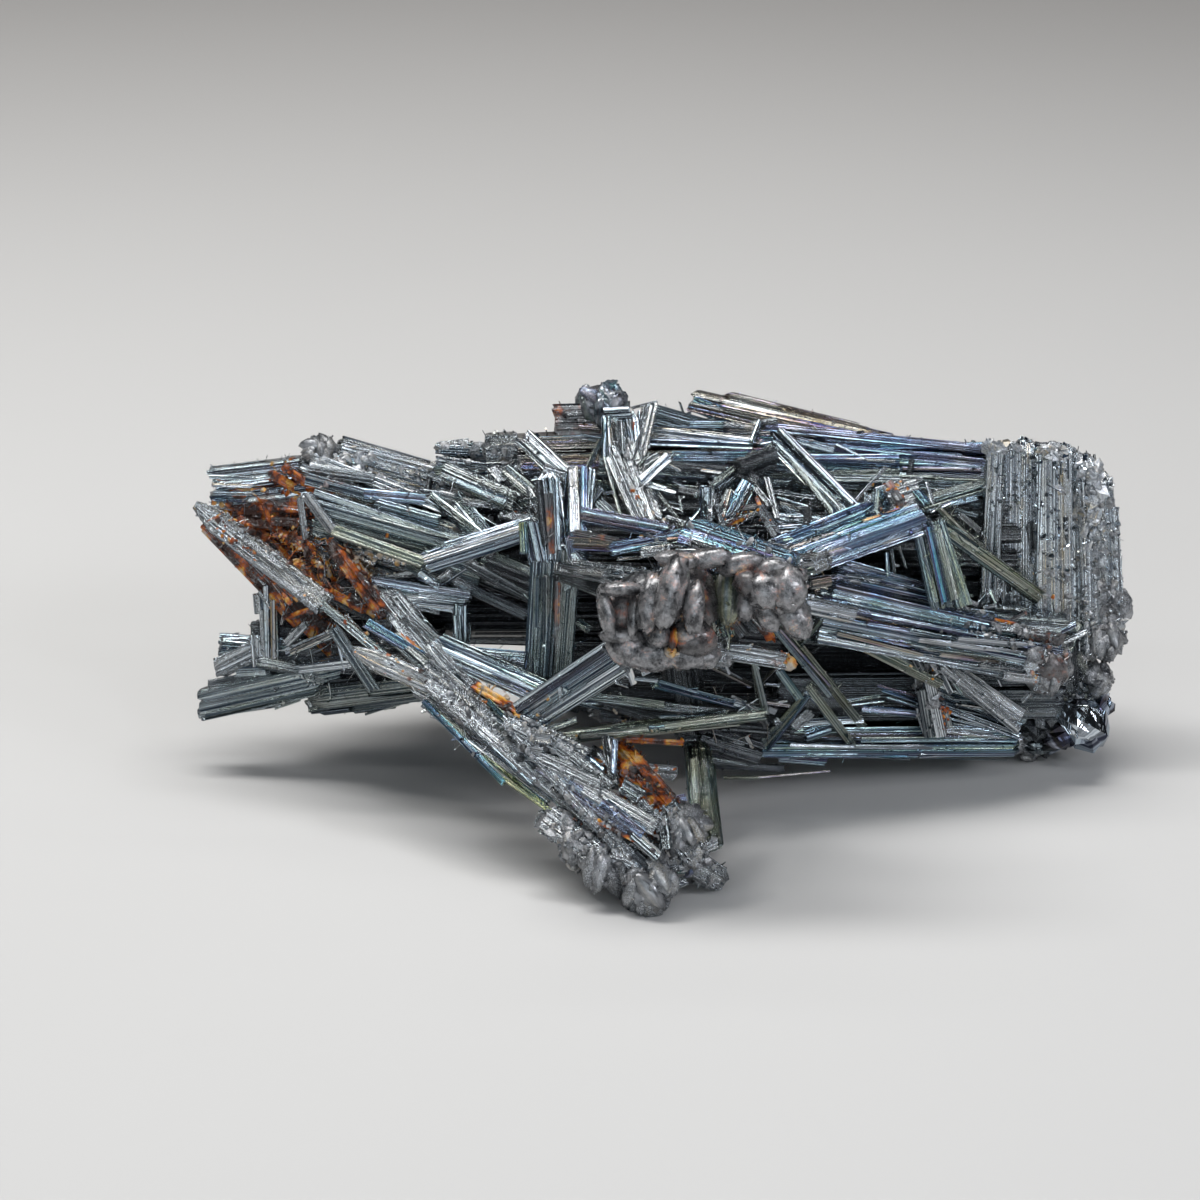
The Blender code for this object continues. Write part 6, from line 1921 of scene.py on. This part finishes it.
def stibnite(name, glassy):
    """The material of bars and laths (glassy 0), or of rounded heads and crusts (glassy 1)."""
    finish = Finish(name)
    spot = finish.node("ShaderNodeTexCoord", {}, {}, "Object")
    mm = finish.stretched(spot, (1000.0, 1000.0, 1000.0))
    uv = finish.node("ShaderNodeUVMap", {"uv_map": "lengthwise"}, {})
    coat = finish.node("ShaderNodeAttribute", {"attribute_name": "coat"}, {}, "Color")
    tarnish = finish.node("ShaderNodeAttribute", {"attribute_name": "coat"}, {}, "Alpha")
    film = finish.node("ShaderNodeAttribute", {"attribute_name": "film"}, {}, "Fac")
    dull = finish.node("ShaderNodeSeparateColor", {}, {"Color": coat}, "Red")
    rust = Wire(finish, dull.socket.node.outputs["Green"])
    shade = Wire(finish, dull.socket.node.outputs["Blue"])
    fine = finish.noise(finish.stretched(uv, (0.018, 6.6, 1.0)), 1.0, 3.0, 0.66)
    wide = finish.noise(finish.stretched(uv, (0.022, 1.4, 1.0)), 1.0, 2.0)
    patchy = finish.noise(mm, 0.22, 3.0)
    blotchy = finish.noise(mm, 0.75, 3.0, 0.6)
    grain = finish.noise(mm, 3.4, 4.0, 0.65)
    specks = finish.noise(mm, 7.0, 2.0)
    # painted shade: dark pits on dull faces, darkened in the colour with no hole in the shape
    pits = finish.node("ShaderNodeTexVoronoi", {}, {"Vector": mm, "Scale": 0.7, "Randomness": 1.0})
    pit_shade = (1.0 - pits.between(0.14, 0.26)) * (dull * 1.6 - 0.6).clamped()
    # bright and dark lines along each bar: the striations, and a painted sheen where the colour follows
    # them
    striation_and_sheen = (fine * 0.75 + wide * 0.25).between(0.45, 0.57)
    uneven = ((patchy - 0.5) * 1.1 + (grain - 0.5) * 1.2) * (0.35 + dull)
    dulled = (dull * 1.4 + uneven - 0.14).clamped()
    rusted = (rust * 1.7 + (grain - 0.5) * 1.6 + (blotchy - 0.5) * 1.6 - 0.50).clamped()
    if glassy:
        light = blotchy.between(0.32, 0.66)
        metal_and_sheen = finish.blend(light, (0.032, 0.032, 0.035, 1), (0.37, 0.37, 0.38, 1))
    else:
        # painted sheen: the metal's colour runs from near black to near white along the lines
        metal_and_sheen = finish.blend(striation_and_sheen, (0.035, 0.048, 0.062, 1), (0.90, 0.96, 1.00, 1))
    depth = (film + (wide - 0.5) * 0.6 + (fine - 0.5) * 0.8 + (patchy - 0.5) * 0.30).clamped()
    rainbow = finish.node("ShaderNodeValToRGB", {"stops": FILM_COLOURS}, {"Fac": depth})
    rainbow = finish.blend(striation_and_sheen * 0.7 + 0.3, (0.02, 0.02, 0.03, 1), rainbow)
    shown = (tarnish * 1.35 * (patchy * 1.6 + wide * 0.7 - 0.40)).clamped()
    colour = finish.blend(shown, metal_and_sheen, rainbow)
    # pale specks in the crust: partly the druse's own pale tone, partly painted glints
    druse_and_glint_tone = 0.50 if glassy else 0.65
    druse_and_glint_colour = (druse_and_glint_tone, druse_and_glint_tone * 1.05, druse_and_glint_tone * 1.1, 1)
    crust = finish.blend(specks.between(0.46, 0.62), (0.035, 0.041, 0.048, 1), druse_and_glint_colour)
    colour = finish.blend(dulled * 0.75, colour, crust)
    streaky = finish.noise(mm, 0.42, 2.0)
    stained_by = (streaky * 2.4 + blotchy * 0.6 + grain * 0.4 + film * 0.9 - 1.46).clamped()
    brown = finish.node("ShaderNodeValToRGB", {"stops": RUST_COLOURS}, {"Fac": stained_by})
    colour = finish.blend(rusted, colour, brown)
    # painted shade: the shade number darkens the colour to near black
    colour = finish.blend(shade * 0.85, colour, (0.012, 0.013, 0.015, 1))
    # painted shade in the pits
    colour = finish.blend(pit_shade * 0.85, colour, (0.012, 0.012, 0.013, 1))
    height = fine * (2.0 - 1.6 * glassy) + dulled * grain * (2.6 - glassy) + specks * dulled * 1.2
    bumped = finish.node("ShaderNodeBump", {}, {"Strength": 0.6, "Distance": 0.0001, "Height": height})
    return finish.finished(
        Base_Color=colour, Metallic=(1.0 - 0.45 * glassy) * (1.0 - rusted * 0.95),
        Roughness=(0.05 + 0.13 * glassy + fine * 0.08 + dulled * 0.15 + rusted * 0.06).clamped(),
        Coat_Weight=0.45 * glassy, Coat_Roughness=0.10, Normal=bumped)


STIBNITE, GLASSY = stibnite("stibnite", 0.0), stibnite("stibnite_rounded", 1.0)
print("nodes in the stibnite material:", len(STIBNITE.node_tree.nodes))

# %% [markdown]
# ## Growing the pieces
# Each region of the drawing becomes one piece: its bars, the laths on them, small chips all over,
# and a druse on the dull faces, the denser the duller they are. The far side also has splinters.
# All amounts are numbers to a square millimetre.

# %% Bars, laths and druse of every region
def every_face(centre, out, coats):
    """Much the same chance for every face, and least for one that looks down."""
    return np.clip(0.4 + out[:, 2], 0.05, None)


def far_faces(centre, out, coats):
    """More splinters where a face looks back or up."""
    return np.clip(out[:, 1] + 0.5 * out[:, 2], 0.0, None)


def dull_faces(centre, out, coats):
    """More druse on dull faces, least where a face looks down."""
    return (coats[:, 0] ** 1.5) * (1.15 + out[:, 2])


CHIP_SIZES, CHIPS_PER_AREA, CORE_CHIPS_PER_AREA = ((0.25, 1.3), (0.07, 0.28)), 0.08, 0.04
GRAINS_PER_AREA, CORE_GRAINS_PER_AREA = 0.8, 0.08
SPLINTER_SIZES, SPLINTER_HEADING = ((1.0, 6.0), (0.25, 0.9)), (0.6, 0.4, 0.3)
SPLINTERS_PER_AREA = {"far_bars": 0.10, "hidden_core": 0.05}
GROWN = {}


def region(name, rods):
    """One piece: the bars of a region with their laths, chips, splinters and druse."""
    chance = seed_of(name + " druse")
    base = GROWN[name] = merged(bodies(name, rods))
    hidden = name == "hidden_core"
    area = face_facts(base)[2]
    chips = int(area.sum() * (CORE_CHIPS_PER_AREA if hidden else CHIPS_PER_AREA))
    grown = [base, laths(name, rods),
             needles(base, chips, every_face, (0.0, 0.0, 0.0), 1.0, *CHIP_SIZES, chance)]
    splinters = int(area.sum() * SPLINTERS_PER_AREA.get(name, 0.0))
    if splinters:
        grown.append(needles(base, splinters, far_faces, SPLINTER_HEADING, 0.8, *SPLINTER_SIZES, chance))
    dulled_area = float((area * base.coats[base.faces[4][:, 0], 0] ** 1.5).sum())
    count = int(dulled_area * (CORE_GRAINS_PER_AREA if hidden else GRAINS_PER_AREA))
    spot, out, coats, films = picked(base, count, dull_faces, chance)
    grown.append(grains(spot, out, grain_sizes(0.07, 0.26, count, chance), coats, films, chance))
    return piece(name, grown, STIBNITE)


for name, rods in RODS.items():
    region(name, rods)

# %% Hairs and crumbs
Sprinkle = namedtuple("Sprinkle", "region across up back radius count kind coat")
SPRINKLES = table(Sprinkle, (1,) * 8, """
right_plate 54.5 48 9 5 576 crumb silver
right_plate 55.0 38 8 4 320 crumb dull
right_plate 45.6 51 9 3.4 230 crumb dark
right_plate 48.0 57 14 5 320 crumb bright
right_plate 46.0 36 8 4 12 crumb ochre
right_plate 50.0 42 8 6 192 hair bright
left_arm -46.5 45.5 9 4.5 268 hair rust
left_arm -43.0 41 6 4 166 hair rust
left_arm -44.0 44 8 5 102 hair bright
left_arm -46.9 43.8 7 1.3 42 crumb ochre
left_arm -45.0 46 9 3.6 166 crumb rust
left_arm -35.6 43.2 5 1.9 32 crumb ochre
left_arm -46.4 53.6 12 2.4 102 crumb rust
left_arm -51.0 43.6 4 3 57 crumb rust
left_arm -44.0 37 4 4 128 hair dark
left_arm -44.0 31 4 5 128 hair dull
left_arm -38.0 38 2 5 140 hair dull
left_arm -46.0 27 6 4 70 crumb dull
middle_uprights -18.5 50.6 8 3.4 140 hair dull
middle_uprights -19.0 50 8 3.4 76 crumb dull
middle_uprights -17.6 23.9 -16 2.4 27 crumb ochre
middle_uprights -13.4 24.4 -18 1.8 19 crumb ochre
middle_uprights -20.0 30 -6 4 76 hair bright
rear_bars -1.6 48.6 5 1.8 32 crumb ochre
rear_bars 0.0 56 14 5 89 hair dull
rear_bars 20.0 57 17 4 102 crumb dull
rear_bars 28.0 51 8 2 70 crumb rust
valley 9.0 49 5 4 140 hair dull
valley 10.3 48.3 4 2 70 crumb rust
valley 18.0 48 4 4 102 hair bright
blue_bars 21.0 48.4 -1 3 70 crumb bright
blue_bars 38.0 46 3 4 76 hair green
blue_bars 42.0 37.6 5 2.4 57 crumb dull
front_knob 5.0 44 -20 4.5 153 hair dull
front_knob 14.0 42 -24 4 102 hair dull
front_knob 11.6 32.6 -22 0.8 8 crumb ochre
front_knob 16.6 30.4 -22 1 10 crumb ochre
front_knob 9.0 37 -22 3 102 crumb rust
front_bundles 44.0 38 1 5 128 crumb dull
front_bundles 36.0 25 -1 1.1 57 crumb rust
front_bundles 33.6 30.2 -2 0.8 8 crumb ochre
front_bundles 38.0 25 1 5 102 hair dull
front_bundles 52.0 28 8 4 128 hair dull
crossing_rods 8.0 24 -8 6 96 hair gold
crossing_rods -2.0 21 -14 4 21 crumb ochre
front_leg -1.6 15.6 -20 1.6 19 crumb ochre
front_leg -3.0 16 -18 3.5 102 crumb rust
front_leg -20.0 22 -14 6 166 crumb dull
front_leg -8.0 12 -24 6 192 crumb dull
front_leg -26.0 26 -10 5 102 hair dull
""")
HAIR_SIZES, CRUMB_SIZES = ((0.7, 3.2), (0.06, 0.17)), (0.10, 0.42)


def sprinkled(row):
    """Hairs or crumbs on a region's surface, more of them the nearer to the row's place."""
    chance = seed_of(f"{row.region} {row.across} {row.kind} {row.coat}")
    middle = place(row.across, row.up, row.back)

    def nearby(centre, out, coats):
        away = np.sum((centre - middle) ** 2, axis=1) / row.radius**2
        return np.exp(-away) * np.clip(0.7 - 0.5 * out @ SIGHT, 0.1, None)

    base = GROWN[row.region]
    coat = np.array(COATS[row.coat])
    if row.kind == "hair":
        grown = needles(base, row.count, nearby, UPWARD * 0.3 - SIGHT * 0.3, 0.9, *HAIR_SIZES, chance)
    else:
        spot, out, _, _ = picked(base, row.count, nearby, chance)
        size = chance.uniform(*CRUMB_SIZES, row.count) * chance.uniform(0.5, 1.0, row.count)
        grown = grains(spot, out, size, np.zeros((row.count, 4)), np.zeros(row.count), chance)
    total = len(grown.spots)
    coats = np.clip(coat[:4] + chance.normal(0, 0.06, (total, 4)) * (1, 0.5, 0.3, 1), 0, 1)
    return grown._replace(coats=coats, films=np.full(total, coat[4]))


piece("hairs_and_crumbs", [sprinkled(row) for row in SPRINKLES], STIBNITE)

# %% Rounded heads
HEADS_OF = {
    "knob_heads": (),
    "foot_heads": [head for head in HEADS if head.name.startswith("foot")],
    "outer_heads": [head for head in HEADS if not head.name.startswith("foot")],
}
ROUGHNESS_OF = {"knob_heads": 0.7, "outer_heads": 0.9, "low_right_lumps": 1.1}
GRAINS_PER_HEAD, GRAINS_BESIDES = 180, 300
for name, some in HEADS_OF.items():
    chance = seed_of(name)
    growths = [head_surface(head, seed_of(head.name)) for head in some]
    if name in LUMPS:
        growths.append(placed_lumps(LUMPS[name], FINE_GRID, ROUGHNESS_OF[name], chance))
    heads = merged(growths)
    count = GRAINS_PER_HEAD * len(some) + GRAINS_BESIDES
    spot, out, coats, films = picked(heads, count, dull_faces, chance)
    druse = grains(spot, out, grain_sizes(0.05, 0.24, count, chance), coats, films, chance)
    piece(name, [heads, druse], GLASSY, rounded=True)
name = "low_right_lumps"
facets = placed_lumps(LUMPS[name], FACET_GRID, ROUGHNESS_OF[name], seed_of(name))
piece(name, [facets], STIBNITE)
piece("crust", [crusted(row, seed_of(f"{row.region} crust {row.start}")) for row in CRUSTS], GLASSY)

# %% [markdown]
# ## Floor and light
# The spray stands on a pale sheet that curves up far behind it. A long strip light above and to
# the left is the main one, with a weaker strip behind it. Thin strips, a small window, a side
# lamp, a low sill and four upright panes stand in front, and the bars mirror them as streaks.
# The room itself adds very little.

# %% Floor
SHEET_FRONT, SHEET_BACK, SHEET_HALF_WIDTH = -2.6, 1.6, 1.6
SHEET_BEND, SHEET_RISE = 0.9, 0.9
SHEET_ROWS, SHEET_COLUMNS = 60, 40


def sweep():
    """A sheet: flat up to the bend, then rising with the square of the way past it."""
    y = np.linspace(SHEET_FRONT, SHEET_BACK, SHEET_ROWS)
    z = np.where(y > SHEET_BEND, (y - SHEET_BEND) ** 2 * SHEET_RISE, 0.0)
    x = np.linspace(-SHEET_HALF_WIDTH, SHEET_HALF_WIDTH, SHEET_COLUMNS)
    spots = np.stack(np.broadcast_arrays(x[None], y[:, None], z[:, None]), axis=-1).reshape(-1, 3)
    i, j = np.meshgrid(np.arange(SHEET_ROWS - 1), np.arange(SHEET_COLUMNS - 1), indexing="ij")
    here = i * SHEET_COLUMNS + j
    beyond = here + SHEET_COLUMNS
    quads = np.stack([here, here + 1, beyond + 1, beyond], axis=-1)
    mesh = bpy.data.meshes.new("paper_sweep")
    mesh.from_pydata(spots.tolist(), [], quads.reshape(-1, 4).tolist())
    mesh.shade_smooth()
    made = bpy.data.objects.new("paper_sweep", mesh)
    bpy.context.scene.collection.objects.link(made)
    return made


def paper():
    """Matt paper: a pale grey with hardly any cloudiness, darker and warmer far behind as painted shade.
    """
    finish = Finish("paper")
    spot = finish.node("ShaderNodeTexCoord", {}, {}, "Object")
    cloud = finish.noise(spot, 5.0, 3.0)
    # painted shade: the sheet turns darker and warmer towards the back
    far = finish.node("ShaderNodeSeparateXYZ", {}, {"Vector": spot}, "Y").between(0.10, 0.70)
    near = finish.blend(cloud, (0.490, 0.488, 0.484, 1), (0.525, 0.522, 0.516, 1))
    colour = finish.blend(far, near, (0.365, 0.350, 0.338, 1))
    return finish.finished(Base_Color=colour, Roughness=0.9)


sweep().data.materials.append(paper())


# %% Lights
def softbox(name, spot, aim, size, power, colour):
    """A rectangular light that faces a point: its own -Z is turned to look from spot to aim."""
    light = bpy.data.lights.new(name, "AREA")
    light.shape, light.size, light.size_y = "RECTANGLE", size[0], size[1]
    light.energy, light.color = power, colour
    made = bpy.data.objects.new(name, light)
    made.location = spot
    direction = unit(np.array(aim, dtype=float) - np.array(spot, dtype=float))
    steep = abs(direction[2]) > 0.9
    side = unit(np.cross(direction, (0, 1, 0) if steep else (0, 0, 1)))
    up = np.cross(side, direction)
    turn = np.stack([side, up, -direction], axis=1)
    made.rotation_euler = Matrix(turn.tolist()).to_euler()
    bpy.context.scene.collection.objects.link(made)
    return made


MIDDLE, WARM, COOL = (0, 0, 0.03), (1.0, 0.99, 0.975), (0.90, 0.95, 1.0)
softbox("main_strip", (-0.20, 0.05, 0.60), (-0.20, 0.05, 0.0), (0.70, 0.11), 5.0, WARM)
softbox("rear_strip", (0.0, 0.30, 0.60), (0, 0.30, 0.0), (0.80, 0.05), 0.5, WARM)
softbox("high_strip", (0.0, -0.33, 0.54), MIDDLE, (0.90, 0.018), 0.60, (0.96, 0.98, 1.0))
softbox("low_strip", (0.0, -0.60, 0.40), MIDDLE, (1.00, 0.018), 0.45, COOL)
softbox("window", (0.34, -0.46, 0.42), MIDDLE, (0.05, 0.09), 0.35, (0.90, 0.92, 1.0))
softbox("side_lamp", (0.46, -0.25, 0.30), MIDDLE, (0.09, 0.12), 0.85, (0.92, 0.94, 1.0))
softbox("sill", (0.0, -0.95, 0.07), MIDDLE, (1.00, 0.08), 0.90, COOL)
for across in (-0.58, -0.26, 0.02, 0.36):
    softbox(f"pane_{across}", (across, -0.95, 0.34), MIDDLE, (0.07, 0.46), 0.32, (0.82, 0.93, 1.0))

world = bpy.data.worlds.new("room")
world.use_nodes = True
world.node_tree.nodes["Background"].inputs["Color"].default_value = (0.86, 0.90, 0.95, 1)
world.node_tree.nodes["Background"].inputs["Strength"].default_value = 0.03
bpy.context.scene.world = world
bpy.context.scene.view_settings.view_transform = "Standard"
